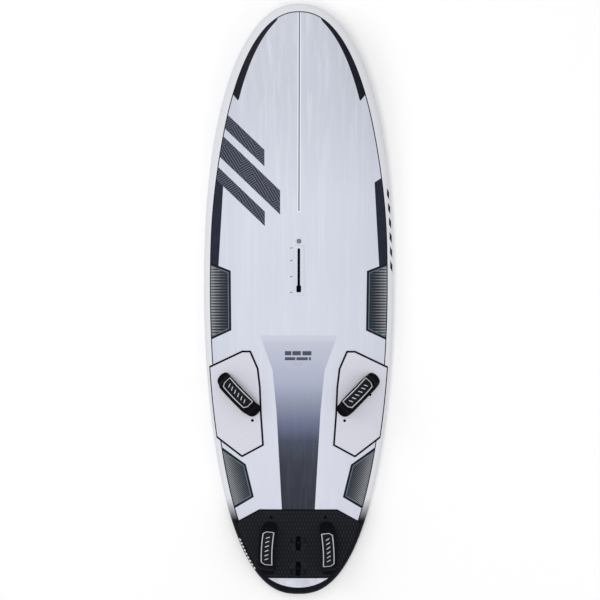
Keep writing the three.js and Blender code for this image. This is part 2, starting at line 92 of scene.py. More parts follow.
# Fittings.
TRACK = {"width": 44.0, "length": 198.0, "height": 34.0, "y": 120.0, "slot": 10.5, "lip": 6.0}
CHANNEL = {"width": 20.0, "depth": 20.0, "length": 176.0}
ENTRY = {"width": 19.0, "length": 28.0}
FIN_BOX = {"width": 34.0, "front": -923.0, "back": -1123.0, "front_top": 68.0, "back_top": 40.0}
FIN_SLOT = {"width": 17.0, "front": -938.0, "back": -1108.0, "roof": 10.0, "taper": 6.0}
FIN_BOLT_Y = (-972.0, -1075.0)
FIN_BOLT_RADIUS = 3.25
FIN_POCKET = (20.0, 58.0)
VENT_Y = 236.0

# Pads and straps.
PAD_THICKNESS = 5.0
PAD_LIFT = 0.3
FRONT_ANCHORS = ((288.0, -322.0), (184.0, -430.0))
REAR_ANCHORS = ((110.0, -916.0), (118.0, -1066.0))
SPARE_INSERTS = {
    "spare_insert_front_left": (-184.0, -480.0),
    "spare_insert_front_right_inner": (184.0, -480.0),
    "spare_insert_front_right_outer": (286.0, -376.0),
    "spare_insert_rear_left": (-108.0, -868.0),
    "spare_insert_rear_right": (108.0, -868.0),
}
REAR_LEAN = 8.0
STRAP_BASE = PAD_THICKNESS + 0.5
PAD_HOLE_RADIUS = 5.8

# ---------------------------------------------------------------- hull formulas


def by_end(y, nose_value, tail_value):
    return np.where(np.asarray(y, float) >= WIDE_POINT_Y, nose_value, tail_value)


def end_share(y):
    y = np.asarray(y, float)
    return np.clip(np.abs(y - WIDE_POINT_Y) / by_end(y, NOSE_LENGTH, TAIL_LENGTH), 0, 1)


def half_width(y):
    along = by_end(y, NOSE_CURVE[0], TAIL_CURVE[0])
    across = by_end(y, NOSE_CURVE[1], TAIL_CURVE[1])
    return HALF_WIDTH * (1 - end_share(y) ** along) ** (1 / across)


def thickness(y):
    y = np.asarray(y, float)
    nose = y >= THICKEST_Y
    run = np.where(nose, BOARD_LENGTH / 2 - THICKEST_Y, BOARD_LENGTH / 2 + THICKEST_Y)
    share = np.clip(np.abs(y - THICKEST_Y) / run, 0, 1)
    loss = MAX_THICKNESS - np.where(nose, NOSE_THICKNESS, TAIL_THICKNESS)
    return MAX_THICKNESS - loss * share ** np.where(nose, 2.6, 2.2)


def rail_height(y):
    share = np.maximum(0, np.asarray(y, float) - ROCKER_START_Y) / (BOARD_LENGTH / 2 - ROCKER_START_Y)
    return NOSE_LIFT * share**ROCKER_POWER + RAIL_SHARE * thickness(y)


def end_rounding(y):
    return np.sqrt(np.maximum(0, 1 - end_share(y) ** by_end(y, NOSE_CURVE[2], TAIL_CURVE[2])))


def arch(curve, u):
    flat, across, up = curve
    past = np.maximum(0, np.abs(u) - flat) / (1 - flat)
    return np.maximum(0, 1 - np.minimum(past, 1) ** across) ** (1 / up)


def width_share(x, y):
    return np.clip(np.abs(x) / np.maximum(half_width(y), 1e-6), 0, 1)


def smooth(t):
    t = np.clip(t, 0, 1)
    return t * t * (3 - 2 * t)


# Half-widths of the dark middle strip at four stations, from its front end to the tail pad.
STRIP_Y = (-838.0, -442.0, -280.0, -140.0)
STRIP_HALF_WIDTH = (66.0, 88.0, 104.0, 154.0)
STRIP_DEPTH = 1.6


def strip_recess(x, y):
    """How far the middle strip is sunk into the deck."""
    edge = np.interp(y, STRIP_Y, STRIP_HALF_WIDTH)
    return STRIP_DEPTH * smooth((edge - np.abs(x)) / 14) * smooth((-150 - np.asarray(y)) / 160)


def deck_z(x, y):
    rise = (1 - RAIL_SHARE) * thickness(y) * end_rounding(y)
    return rail_height(y) + rise * arch(DECK_ARCH, width_share(x, y)) - strip_recess(x, y)


def bottom_z(x, y):
    fall = RAIL_SHARE * thickness(y) * end_rounding(y)
    return rail_height(y) - fall * arch(BOTTOM_ARCH, width_share(x, y))


def deck_normal(x, y):
    step = 6.0
    slope_x = (deck_z(x + step, y) - deck_z(x - step, y)) / (2 * step)
    slope_y = (deck_z(x, y + step) - deck_z(x, y - step)) / (2 * step)
    return Vector((-float(slope_x), -float(slope_y), 1)).normalized()


def outline_stations(count):
    """Stations from the nose tip to the tail tip, close together where the outline turns."""
    angle = np.linspace(0, math.pi / 2, count)
    nose = WIDE_POINT_Y + NOSE_LENGTH * np.sin(angle) ** (2 / NOSE_CURVE[0])
    tail = WIDE_POINT_Y - TAIL_LENGTH * np.sin(angle) ** (2 / TAIL_CURVE[0])
    return np.concatenate([nose[::-1], tail[1:]])


def full_outline(count=110):
    """The outline as one closed loop: down the starboard side, then up the port side."""
    y = outline_stations(count)
    starboard = np.stack([half_width(y), y], 1)
    starboard[[0, -1], 0] = 0
    port = starboard[1:-1][::-1] * (-1, 1)
    return np.concatenate([starboard, port])


def loop_offset(loop, distance):
    """A closed clockwise loop moved inwards by a distance, which may differ from point to point."""
    before, after = np.roll(loop, 1, 0), np.roll(loop, -1, 0)
    tangent = after - before
    tangent /= np.linalg.norm(tangent, axis=1)[:, None]
    inward = np.stack([tangent[:, 1], -tangent[:, 0]], 1)
    return loop + inward * np.reshape(distance, (-1, 1))


def mirrored(points):
    return [(-x, y) for x, y in points]


def polygon_inset(points, distances):
    """A polygon whose edges are moved inwards, each by its own distance."""
    points = [np.array(p, float) for p in points]
    area = sum(a[0] * b[1] - b[0] * a[1] for a, b in zip(points, points[1:] + points[:1]))
    turn = 1 if area > 0 else -1
    lines = []
    for a, b, d in zip(points, points[1:] + points[:1], distances):
        along = (b - a) / np.linalg.norm(b - a)
        inward = np.array([-along[1], along[0]]) * turn
        lines.append((a + inward * d, along))
    result = []
    for (p, u), (q, v) in zip([lines[-1]] + lines[:-1], lines):
        share = np.linalg.solve(np.stack([u, -v], 1), q - p)[0]
        result.append(tuple(p + u * share))
    return result


def inside(loop, points):
    """True for each point that lies in a closed loop."""
    loop = np.asarray(loop, float)
    x, y = points[:, 0], points[:, 1]
    found = np.zeros(len(points), bool)
    for (x0, y0), (x1, y1) in zip(loop, np.roll(loop, -1, 0)):
        crosses = (y0 > y) != (y1 > y)
        if y1 != y0:
            found ^= crosses & (x < x0 + (y - y0) * (x1 - x0) / (y1 - y0))
    return found


def circle(x, y, radius, count=24):
    angles = np.linspace(0, 2 * math.pi, count, endpoint=False)
    return [(x + radius * math.cos(a), y + radius * math.sin(a)) for a in angles]


def oval(x, y, width, length, count=20):
    points = []
    for a in np.linspace(0, 2 * math.pi, count, endpoint=False):
        shift = (length - width) / 2 * (1 if math.sin(a) >= 0 else -1)
        points.append((x + width / 2 * math.cos(a), y + shift + width / 2 * math.sin(a)))
    return points


def rounded_box(x, y, width, length, radius, steps=5):
    points = []
    for sx, sy, start in ((1, 1, 0), (-1, 1, 90), (-1, -1, 180), (1, -1, 270)):
        for k in range(steps + 1):
            a = math.radians(start + 90 * k / steps)
            cx, cy = x + sx * (width / 2 - radius), y + sy * (length / 2 - radius)
            points.append((cx + radius * math.cos(a), cy + radius * math.sin(a)))
    return points


# ---------------------------------------------------------------- meshes from plans


def densified(points, step):
    """A closed loop with extra points along its long edges."""
    result = []
    for a, b in zip(points, points[1:] + points[:1]):
        a, b = np.array(a, float), np.array(b, float)
        count = max(1, math.ceil(np.linalg.norm(b - a) / step))
        result += [tuple(a + (b - a) * k / count) for k in range(count)]
    return result


class Plan:
    """Points and closed loops in the deck's plan, joined into triangles."""

    def __init__(self):
        self.points = []
        self.edges = []

    def loop(self, points, step=10.0):
        """Adds a closed loop, with points along its long edges so that it can follow a curved surface."""
        points = densified([tuple(p) for p in points], step)
        first = len(self.points)
        self.points += points
        count = len(points)
        self.edges += [(first + i, first + (i + 1) % count) for i in range(count)]
        return np.asarray(points, float)

    def scatter(self, points):
        self.points += [tuple(p) for p in points]

    def triangles(self):
        vectors = [Vector(p) for p in self.points]
        verts, _, faces, *_ = delaunay_2d_cdt(vectors, self.edges, [], 0, 1e-4, False)
        return np.array([tuple(v) for v in verts]), np.array([f[:] for f in faces if len(f) == 3])


def new_object(name, verts, faces, materials, face_materials=None, sharp_angle=35.0):
    """An object in metres from points in millimetres."""
    mesh = bpy.data.meshes.new(name)
    points = [tuple(v) for v in np.asarray(verts, float) * MM]
    mesh.from_pydata(points, [], [tuple(map(int, f)) for f in faces])
    for material in materials:
        mesh.materials.append(material)
    if face_materials is not None:
        mesh.polygons.foreach_set("material_index", np.asarray(face_materials, np.int32))
    mesh.validate()
    mesh.update()
    obj = bpy.data.objects.new(name, mesh)
    bpy.context.scene.collection.objects.link(obj)
    finish_mesh(obj, sharp_angle)
    return obj


def finish_mesh(obj, sharp_angle=35.0):
    """Outward faces, smooth shading and sharp corners."""
    bm = bmesh.new()
    bm.from_mesh(obj.data)
    bmesh.ops.recalc_face_normals(bm, faces=bm.faces)
    bm.to_mesh(obj.data)
    bm.free()
    obj.data.polygons.foreach_set("use_smooth", [True] * len(obj.data.polygons))
    obj.data.set_sharp_from_angle(angle=math.radians(sharp_angle))


def closed_sheet(top, bottom, faces, face_materials, rim_material):
    """Joins two surfaces that share their faces into one closed body, with walls at every free edge."""
    count = len(top)
    seen = {}
    for face, material in zip(faces, face_materials):
        for a, b in zip(face, np.roll(face, -1)):
            key = (min(a, b), max(a, b))
            seen.setdefault(key, []).append((a, b, material))
    rim = [uses[0] for uses in seen.values() if len(uses) == 1]
    all_faces = [tuple(f) for f in faces]
    all_faces += [tuple(int(i) + count for i in reversed(f)) for f in faces]
    all_faces += [(b, a, a + count, b + count) for a, b, _ in rim]
    materials = list(face_materials) + [rim_material] * len(faces)
    materials += [rim_material if rim_material is not None else m for _, _, m in rim]
    return np.concatenate([top, bottom]), all_faces, materials


def drop_unused(verts, faces):
    used = np.unique(faces)
    place = np.full(len(verts), -1)
    place[used] = np.arange(len(used))
    return verts[used], place[faces]


def vertex_normals(points, faces):
    a, b, c = (points[faces[:, i]] for i in range(3))
    face_normals = np.cross(b - a, c - a)
    normals = np.zeros_like(points)
    for i in range(3):
        np.add.at(normals, faces[:, i], face_normals)
    return normals / np.maximum(np.linalg.norm(normals, axis=1), 1e-12)[:, None]


def hull_skin(name, height, loops, holes, regions, materials, rim_material):
    """A closed skin over the whole outline. The regions are functions from face centres to a mask,
    and a later region paints over an earlier one."""
    plan = Plan()
    outline = plan.loop(full_outline())
    for loop in loops:
        plan.loop(loop)
    hole_loops = [plan.loop(hole) for hole in holes]
    for y in outline_stations(110)[1:-1]:
        width = float(half_width(y))
        flat_count = max(3, int(1.6 * width / 11))
        turn = np.linspace(0.06, 0.72, 11)
        rounding = np.cos(turn) ** (2 / 2.6) * width
        row = np.concatenate([-rounding, np.linspace(-0.79, 0.79, flat_count) * width, rounding])
        plan.scatter([(x, y) for x in row])
    verts, faces = plan.triangles()
    centres = verts[faces].mean(1)
    keep = inside(outline, centres)
    for hole in hole_loops:
        keep &= ~inside(hole, centres)
    faces = faces[keep]
    verts, faces = drop_unused(verts, faces)
    centres = verts[faces].mean(1)
    paint = np.zeros(len(faces), int)
    for index, region in regions:
        paint[region(centres)] = index
    surface = np.column_stack([verts, height(verts[:, 0], verts[:, 1])])
    normals = vertex_normals(surface, faces)
    if height is bottom_z:
        normals = -normals
    inner = surface - normals * SKIN
    points, all_faces, paints = closed_sheet(surface, inner, faces, paint, rim_material)
    return new_object(name, points, all_faces, materials, paints)


def pad_sheet(name, outline, border, spacing, emboss_and_painted_highlight, materials, holes):
    """A grip pad: a bevelled border that falls to the deck round an embossed top."""
    plan = Plan()
    outer = plan.loop(outline, 4.0)
    inner = plan.loop(border, 4.0)
    hole_loops = [plan.loop(hole) for hole in holes]
    low, high = outer.min(0), outer.max(0)
    grid_x, grid_y = np.meshgrid(
        np.arange(low[0], high[0], spacing), np.arange(low[1], high[1], spacing * 1.25)
    )
    grid_x = grid_x + (np.arange(len(grid_y))[:, None] % 2) * spacing / 2
    grid = np.column_stack([grid_x.ravel(), grid_y.ravel()])
    grid = grid[inside(inner, grid)]
    for hole in hole_loops:
        centre = hole.mean(0)
        reach = np.linalg.norm(hole - centre, axis=1).max()
        grid = grid[np.linalg.norm(grid - centre, axis=1) > reach * 1.1]
    plan.scatter(grid)
    verts, faces = plan.triangles()
    centres = verts[faces].mean(1)
    keep = inside(outer, centres)
    for hole in hole_loops:
        keep &= ~inside(hole, centres)
    verts, faces = drop_unused(verts, faces[keep])
    centres = verts[faces].mean(1)
    paint = np.where(inside(inner, centres), 0, 1)
    on_top = inside(inner, verts)
    on_border = np.array([np.linalg.norm(border_distance(outer, v)) for v in verts]) < 0.05
    lift = np.full(len(verts), PAD_THICKNESS)
    lift[on_border] = 1.4
    pattern = emboss_and_painted_highlight(verts[:, 0], verts[:, 1]) * on_top
    ground = deck_z(verts[:, 0], verts[:, 1]) + PAD_LIFT
    top = np.column_stack([verts, ground + lift + pattern])
    bottom = np.column_stack([verts, ground])
    points, all_faces, paints = closed_sheet(top, bottom, faces, paint, 1)
    obj = new_object(name, points, all_faces, materials, paints, 50.0)
    # The emboss height is stored for the foam's painted highlight and painted shade.
    values = np.concatenate([pattern, np.zeros(len(bottom))])
    attribute = obj.data.attributes.new("emboss_and_painted_highlight", "FLOAT", "POINT")
    attribute.data.foreach_set("value", values.astype(np.float32))
    return obj


def border_distance(loop, point):
    """The shortest way from a point to a closed loop."""
    a, b = loop, np.roll(loop, -1, 0)
    along = b - a
    share = np.clip(((point - a) * along).sum(1) / np.maximum((along**2).sum(1), 1e-9), 0, 1)
    gaps = point - (a + along * share[:, None])
    return gaps[np.argmin((gaps**2).sum(1))]


def lathe_points(profile, count):
    """Rings of a turned profile of (radius, height) pairs, with its faces."""
    verts, faces = [], []
    for radius, height in profile:
        for k in range(count):
            a = 2 * math.pi * k / count
            verts.append((radius * math.cos(a), radius * math.sin(a), height))
    for r in range(len(profile) - 1):
        for k in range(count):
            n = (k + 1) % count
            faces.append((r * count + k, r * count + n, (r + 1) * count + n, (r + 1) * count + k))
    return verts, faces


def turned(name, profile, materials, matrix, count=40):
    """A turned piece. A profile that starts or ends off the axis is closed onto itself."""
    closed = profile[0] == profile[-1]
    ring = profile[:-1] if closed else profile
    verts, faces = lathe_points(ring, count)
    if closed:
        last = (len(ring) - 1) * count
        for k in range(count):
            n = (k + 1) % count
            faces.append((last + k, last + n, n, k))
    obj = new_object(name, verts, faces, materials)
    bm = bmesh.new()
    bm.from_mesh(obj.data)
    bmesh.ops.remove_doubles(bm, verts=bm.verts, dist=1e-6)
    bm.to_mesh(obj.data)
    bm.free()
    obj.data.transform(matrix)
    finish_mesh(obj)
    return obj


def apply_modifiers(obj):
    bpy.context.view_layer.update()
    graph = bpy.context.evaluated_depsgraph_get()
    mesh = bpy.data.meshes.new_from_object(obj.evaluated_get(graph))
    obj.modifiers.clear()
    old = obj.data
    obj.data = mesh
    bpy.data.meshes.remove(old)


def bevelled(obj, width, segments=2):
    modifier = obj.modifiers.new("edge", "BEVEL")
    modifier.width = width * MM
    modifier.segments = segments
    modifier.limit_method = "ANGLE"
    modifier.angle_limit = math.radians(30)
    apply_modifiers(obj)


def extruded(name, loop, low, high, materials):
    """An upright prism over a closed loop."""
    count = len(loop)
    verts = [(x, y, low) for x, y in loop] + [(x, y, high) for x, y in loop]
    faces = [tuple(range(count)), tuple(range(count, 2 * count))]
    faces += [(i, (i + 1) % count, (i + 1) % count + count, i + count) for i in range(count)]
    return new_object(name, verts, faces, materials)


def side_prism(name, profile, width, materials):
    """A prism over a closed profile of (y, z) points, across the middle line."""
    count = len(profile)
    verts = [(-width / 2, y, z) for y, z in profile] + [(width / 2, y, z) for y, z in profile]
    faces = [tuple(range(count)), tuple(range(count, 2 * count))]
    faces += [(i, (i + 1) % count, (i + 1) % count + count, i + count) for i in range(count)]
    return new_object(name, verts, faces, materials)


def carved(obj, cutters):
    """Cuts other objects out of one, and removes them."""
    for cutter in cutters:
        modifier = obj.modifiers.new("cut", "BOOLEAN")
        modifier.object = cutter
        modifier.operation = "DIFFERENCE"
        modifier.solver = "EXACT"
    apply_modifiers(obj)
    for cutter in cutters:
        bpy.data.objects.remove(cutter)


# ---------------------------------------------------------------- materials


class Shader:
    """A material and short ways to add nodes to it."""

    def __init__(self, name, roughness=0.5, metallic=0.0, **sockets):
        self.material = bpy.data.materials.new(name)
        self.material.use_nodes = True
        self.tree = self.material.node_tree
        self.bsdf = self.tree.nodes["Principled BSDF"]
        self.bsdf.inputs["Roughness"].default_value = roughness
        self.bsdf.inputs["Metallic"].default_value = metallic
        for socket, value in sockets.items():
            self.bsdf.inputs[socket.replace("_", " ")].default_value = value
        self.place = self.node("ShaderNodeTexCoord").outputs["Object"]

    def node(self, kind, **settings):
        node = self.tree.nodes.new(kind)
        for key, value in settings.items():
            setattr(node, key, value)
        return node

    def feed(self, socket, value):
        if isinstance(value, bpy.types.NodeSocket):
            self.tree.links.new(value, socket)
        else:
            socket.default_value = value

    def math(self, operation, a, b=0.0, c=0.0, clamp=False):
        node = self.node("ShaderNodeMath", operation=operation, use_clamp=clamp)
        for socket, value in zip(node.inputs, (a, b, c)):
            self.feed(socket, value)
        return node.outputs[0]

    def stretched(self, scale):
        node = self.node("ShaderNodeMapping")
        self.feed(node.inputs["Vector"], self.place)
        node.inputs["Scale"].default_value = scale
        return node.outputs[0]

    def noise(self, scale, detail=3.0, roughness=0.5):
        """Noise with its own scale along each axis, in features per metre."""
        node = self.node("ShaderNodeTexNoise")
        self.feed(node.inputs["Vector"], self.stretched(scale))
        node.inputs["Scale"].default_value = 1.0
        node.inputs["Detail"].default_value = detail
        node.inputs["Roughness"].default_value = roughness
        return node.outputs["Fac"]

    def axis(self, name):
        node = self.node("ShaderNodeSeparateXYZ")
        self.feed(node.inputs[0], self.place)
        return node.outputs[name]

    def span(self, value, low, high):
        """0 at low and 1 at high, clamped."""
        node = self.node("ShaderNodeMapRange")
        self.feed(node.inputs["Value"], value)
        node.inputs["From Min"].default_value = low
        node.inputs["From Max"].default_value = high
        return node.outputs[0]

    def ramp(self, value, stops):
        node = self.node("ShaderNodeValToRGB")
        self.feed(node.inputs[0], value)
        elements = node.color_ramp.elements
        while len(elements) < len(stops):
            elements.new(0.5)
        for element, (position, colour) in zip(elements, stops):
            element.position = position
            element.color = (*colour, 1)
        return node.outputs[0]

    def mix(self, share, a, b):
        node = self.node("ShaderNodeMix", data_type="RGBA")
        self.feed(node.inputs["Factor"], share)
        colours = [socket for socket in node.inputs if socket.type == "RGBA"]
        for socket, value in zip(colours, (a, b)):
            self.feed(socket, value if isinstance(value, bpy.types.NodeSocket) else (*value, 1))
        return [socket for socket in node.outputs if socket.type == "RGBA"][0]

    def colour(self, value):
        linked = isinstance(value, bpy.types.NodeSocket)
        self.feed(self.bsdf.inputs["Base Color"], value if linked else (*value, 1))

    def roughness(self, value, low, high):
        self.feed(self.bsdf.inputs["Roughness"], self.math("MULTIPLY_ADD", value, high - low, low))

    def bump(self, value, strength, distance_mm):
        node = self.node("ShaderNodeBump")
        node.inputs["Strength"].default_value = strength
        node.inputs["Distance"].default_value = distance_mm * MM
        self.feed(node.inputs["Height"], value)
        self.feed(self.bsdf.inputs["Normal"], node.outputs[0])

    def sine(self, value, period_mm, phase=0.0):
        """A wave from 0 to 1 along a coordinate in metres."""
        turns = self.math("MULTIPLY_ADD", value, 2 * math.pi / (period_mm * MM), phase)
        return self.math("MULTIPLY_ADD", self.math("SINE", turns), 0.5, 0.5)


def shade(red, green, blue):
    """A colour given as screen values from 0 to 255, as the shader's linear values."""
    return tuple(((c / 255 + 0.055) / 1.055) ** 2.4 if c > 10 else c / 255 / 12.92 for c in (red, green,
        blue))


DECK_PALE = shade(204, 208, 221)
DECK_SHADOW = shade(199, 204, 219)
DECK_LIGHT = shade(217, 220, 231)


def paint_shader(name, colour_of, roughness=0.42, shine=0.4):
    """Satin paint with faint dust and roller texture."""
    shader = Shader(name, roughness, Specular_IOR_Level=shine)
    shader.colour(colour_of(shader))
    shader.roughness(shader.noise((40, 12, 40), 4), roughness - 0.05, roughness + 0.09)
    shader.bump(shader.noise((900, 900, 900), 2), 0.12, 0.15)
    return shader.material


def deck_colour(shader):
    streaks = shader.noise((60, 1.6, 60), 6, 0.62)
    fine = shader.noise((260, 5, 260), 4, 0.6)
    clouds = shader.noise((3.5, 2.2, 3.5), 2)
    pale = shader.ramp(
        shader.span(shader.axis("Y"), -1.0, 1.15),
        [(0.0, shade(212, 213, 226)), (0.38, DECK_PALE), (0.65, shade(203, 207, 220)),
            (0.85, shade(189, 193, 205)),
         (1.0, shade(185, 189, 200))],
    )
    base = shader.mix(shader.math("MULTIPLY", shader.span(clouds, 0.65, 0.35), 0.3), pale, DECK_SHADOW)
    light = shader.mix(shader.math("MULTIPLY", shader.span(streaks, 0.48, 0.72), 0.45), base, DECK_LIGHT)
    return shader.mix(shader.math("MULTIPLY", shader.span(fine, 0.55, 0.75), 0.16), light,
        shade(182, 187, 202))


def rail_colour(shader):
    """Pale all along the rails, and black round the tail with a sprayed edge."""
    speckle = shader.noise((420, 420, 420), 2)
    y = shader.math("MULTIPLY_ADD", speckle, 0.03, shader.axis("Y"))
    fade = shader.span(y, -0.865, -0.775)
    nose = shader.mix(shader.span(shader.axis("Y"), 0.1, 0.9), shade(226, 227, 233), shade(218, 219, 224))
    soft = shader.mix(shader.math("MULTIPLY", speckle, 0.2), nose, shade(190, 192, 199))
    return shader.mix(fade, shade(9, 12, 19), soft)


def strip_colour(shader):
    """The middle strip's slide from the deck's own colour to dark slate."""
    y = shader.math("MULTIPLY_ADD", shader.noise((5, 30, 5), 3), 0.012, shader.axis("Y"))
    share = shader.span(y, -0.84, -0.15)
    stops = [
        (0.0, shade(36, 39, 54)),
        (0.06, shade(37, 40, 55)),
        (0.29, shade(46, 49, 64)),
        (0.41, shade(62, 69, 89)),
        (0.52, shade(101, 108, 136)),
        (0.64, shade(139, 146, 166)),
        (0.75, shade(168, 173, 196)),
        (0.98, shade(189, 193, 209)),
        (1.0, shade(198, 202, 216)),
    ]
    ramp = shader.ramp(share, stops)
    streaks = shader.noise((90, 2.0, 90), 5, 0.6)
    return shader.mix(shader.math("MULTIPLY", shader.span(streaks, 0.5, 0.75), 0.035), ramp,
        shade(205, 210, 225))


def ink_colour(red, green, blue):
    def colour(shader):
        worn = shader.noise((25, 25, 25), 5, 0.6)
        lift = tuple(min(1, c * 1.35 + 0.004) for c in shade(red, green, blue))
        return shader.mix(shader.span(worn, 0.35, 0.75), shade(red, green, blue), lift)

    return colour


def halftone_colour(period_x, period_y, outer, inner, dark):
    """Rows of dots that thin out from the rail towards the middle line."""

    def colour(shader):
        x = shader.math("ABSOLUTE", shader.axis("X"))
        rows = shader.sine(shader.axis("Y"), period_y)
        columns = shader.sine(x, period_x)
        lattice = shader.math("MULTIPLY", rows, shader.math("MULTIPLY_ADD", columns, 0.6, 0.4))
        gradient = shader.span(x, inner * MM, outer * MM)
        level = shader.math("MULTIPLY_ADD", gradient, 0.95, shader.math("MULTIPLY", lattice, 0.9))
        dots = shader.span(level, 0.42, 1.35)
        stops = [(0.0, dark), (0.35, shade(50, 55, 62)), (0.75, shade(108, 112, 116)),
            (1.0, shade(158, 160, 164))]
        return shader.ramp(dots, stops)

    return colour


def woven_colour(period, outer_line, dark):
    """A woven diamond pattern, pale at the rail and dark inboard; outer_line is (x at y 0, slope)."""

    def colour(shader):
        x = shader.math("ABSOLUTE", shader.axis("X"))
        y = shader.axis("Y")
        one = shader.sine(shader.math("ADD", x, y), period)
        two = shader.sine(shader.math("SUBTRACT", x, y), period)
        weave = shader.math("MULTIPLY", one, two)
        edge = shader.math("MULTIPLY_ADD", y, outer_line[1], outer_line[0] * MM)
        gradient = shader.span(shader.math("SUBTRACT", edge, x), 0.075, 0.0)
        level = shader.math("MULTIPLY_ADD", gradient, 0.8, shader.math("MULTIPLY", weave, 0.75))
        stops = [(0.0, dark), (0.4, shade(58, 63, 70)), (0.8, shade(118, 121, 126)),
            (1.0, shade(168, 170, 174))]
        return shader.ramp(shader.span(level, 0.2, 1.3), stops)

    return colour


def hatch_colour(shader):
    """Fine slanted hatching in broken patches, dark on dark, for the blades near the nose."""
    x, y = shader.axis("X"), shader.axis("Y")
    patches = shader.noise((16, 11, 16), 1)
    rising = shader.sine(shader.math("ADD", x, shader.math("MULTIPLY", y, 0.6)), 11)
    falling = shader.sine(shader.math("SUBTRACT", x, shader.math("MULTIPLY", y, 1.7)), 17)
    lines = shader.mix(
        shader.span(patches, 0.49, 0.51),
        shader.ramp(shader.span(rising, 0.72, 0.85), [(0, (0, 0, 0)), (1, (1, 1, 1))]),
        shader.ramp(shader.span(falling, 0.7, 0.85), [(0, (0, 0, 0)), (1, (1, 1, 1))]),
    )
    return shader.mix(shader.math("MULTIPLY", lines, 0.55), shade(42, 45, 60), shade(128, 132, 150))


def plain_colour(colour):
    return lambda shader: colour


def eva_shader(name, dark, light, grain, low, high):
    """Closed-cell foam: matt and finely pitted, with a painted highlight on the raised embossing and
    painted shade in its hollows.
    """
    shader = Shader(name, 0.85, Specular_IOR_Level=0.06)
    emboss_and_painted_highlight = shader.node("ShaderNodeAttribute", attribute_name="emboss_and_painted_highlight").outputs["Fac"]
    # The emboss height sets a painted highlight on the raised foam and painted shade in the pressed
    # hollows.
    raised = shader.span(emboss_and_painted_highlight, low, high)
    cells = shader.noise((grain, grain, grain), 3, 0.7)
    scuffs = shader.noise((9, 7, 9), 5, 0.65)
    body = shader.mix(raised, dark, light)
    speckled = shader.mix(shader.math("MULTIPLY", shader.span(cells, 0.45, 0.8), 0.35), body, dark)
    worn = shader.mix(shader.math("MULTIPLY", shader.span(scuffs, 0.5, 0.75), 0.25), speckled, light)
    shader.colour(worn)
    shader.roughness(cells, 0.78, 0.95)
    shader.bump(cells, 0.35, 0.25)
    return shader.material


def plastic_shader(name, colour, roughness=0.42, shine=0.12):
    shader = Shader(name, roughness, Specular_IOR_Level=shine)
    scuffs = shader.noise((35, 35, 35), 5, 0.65)
    pale = tuple(min(1, c * 1.8 + 0.01) for c in colour)
    shader.colour(shader.mix(shader.math("MULTIPLY", shader.span(scuffs, 0.5, 0.8), 0.5), colour, pale))
    shader.roughness(scuffs, roughness - 0.08, roughness + 0.15)
    shader.bump(shader.noise((1500, 1500, 1500), 2), 0.2, 0.08)
    return shader.material


def metal_shader(name, colour, roughness=0.32):
    shader = Shader(name, roughness, metallic=1.0)
    brushed = shader.noise((300, 300, 2500), 3)
    shader.colour(shader.mix(brushed, tuple(c * 0.8 for c in colour), colour))
    shader.roughness(brushed, roughness - 0.08, roughness + 0.12)
    shader.bump(brushed, 0.1, 0.05)
    return shader.material


def fabric_shader(name, dark, light, period_mm, roughness=0.9):
    """A close weave: crossed ribs in colour and height, with lint and a soft sheen."""
    shader = Shader(name, roughness, Specular_IOR_Level=0.05, Sheen_Weight=0.01, Sheen_Roughness=0.5)
    x, y, z = (shader.axis(a) for a in "XYZ")
    warp = shader.sine(shader.math("ADD", x, shader.math("MULTIPLY", z, 0.7)), period_mm)
    weft = shader.sine(shader.math("ADD", y, shader.math("MULTIPLY", z, 0.7)), period_mm)
    weave = shader.math("MULTIPLY", warp, weft)
    lint = shader.noise((220, 220, 220), 4, 0.7)
    body = shader.mix(weave, dark, light)
    shader.colour(shader.mix(shader.math("MULTIPLY", shader.span(lint, 0.6, 0.85), 0.3), body, light))
    shader.roughness(lint, roughness - 0.1, min(1.0, roughness + 0.06))
    shader.bump(shader.math("ADD", weave, shader.math("MULTIPLY", lint, 0.6)), 0.45, 0.3)
    return shader.material


# ---------------------------------------------------------------- deck graphics

PIN_WIDTH = 4.0
OUTLINE = full_outline()
PIN_INSET = 24 + 7 * smooth((OUTLINE[:, 1] - 250) / 450)
PIN_OUTER = loop_offset(OUTLINE, PIN_INSET)
PIN_INNER = loop_offset(OUTLINE, PIN_INSET + PIN_WIDTH)

STRIPE_START_Y = 1150.0
STRIPE_END_Y = 797.0
STRIPE_WIDTH = 27.0


def nose_stripe():
    """The starboard stripe: from nothing at the nose to its full width, then cut off at a slant."""
    progress = np.clip((STRIPE_START_Y - OUTLINE[:, 1]) / (STRIPE_START_Y - STRIPE_END_Y), 0, 1.2)
    edge = loop_offset(OUTLINE, PIN_INSET + PIN_WIDTH + STRIPE_WIDTH * progress**0.36)
    run = [tuple(p) for p in edge if p[0] > 2 and p[1] > STRIPE_END_Y + 3]
    outside = [tuple(p) for p in OUTLINE if p[0] >= 0 and p[1] > 870]
    return run + [(245.0, 797.0), (290.0, 853.0)] + outside[::-1]


RAIL_BAND = [(302, 472), (372, 519), (400, 160), (321, 137)]
FRONT_PANEL = [(272, 118), (392, 165), (392, -177), (269, -120)]
REAR_PANEL = [(210, -656), (352, -556), (300, -861), (178, -787)]
BORDER = 9.0
FINE_LINE = 3.2


def strip_outline():
    starboard = [(w, y) for w, y in zip(STRIP_HALF_WIDTH, STRIP_Y)]
    tail_end = [(64.0, -900.0)]
    return tail_end + starboard + mirrored(tail_end + starboard)[::-1]


def slanted_bar(x, top, drop, length, width):
    """A bar that runs inboard and aft from a place on the port pinline, with an upright inboard end."""
    return [(x, top), (x + length, top - drop), (x + length, top - drop - width), (x, top - width)]


BLADES = [
    slanted_bar(-400, 850, 250, 262, 66),
    slanted_bar(-400, 748, 310, 325, 96),
    slanted_bar(-400, 606, 252, 264, 58),
]


def slanted_dash(x, y, length, width, slant):
    return [
        (x - width / 2, y - length / 2),
        (x + width / 2, y - length / 2 + slant),
        (x + width / 2, y + length / 2 + slant),
        (x - width / 2, y + length / 2),
    ]


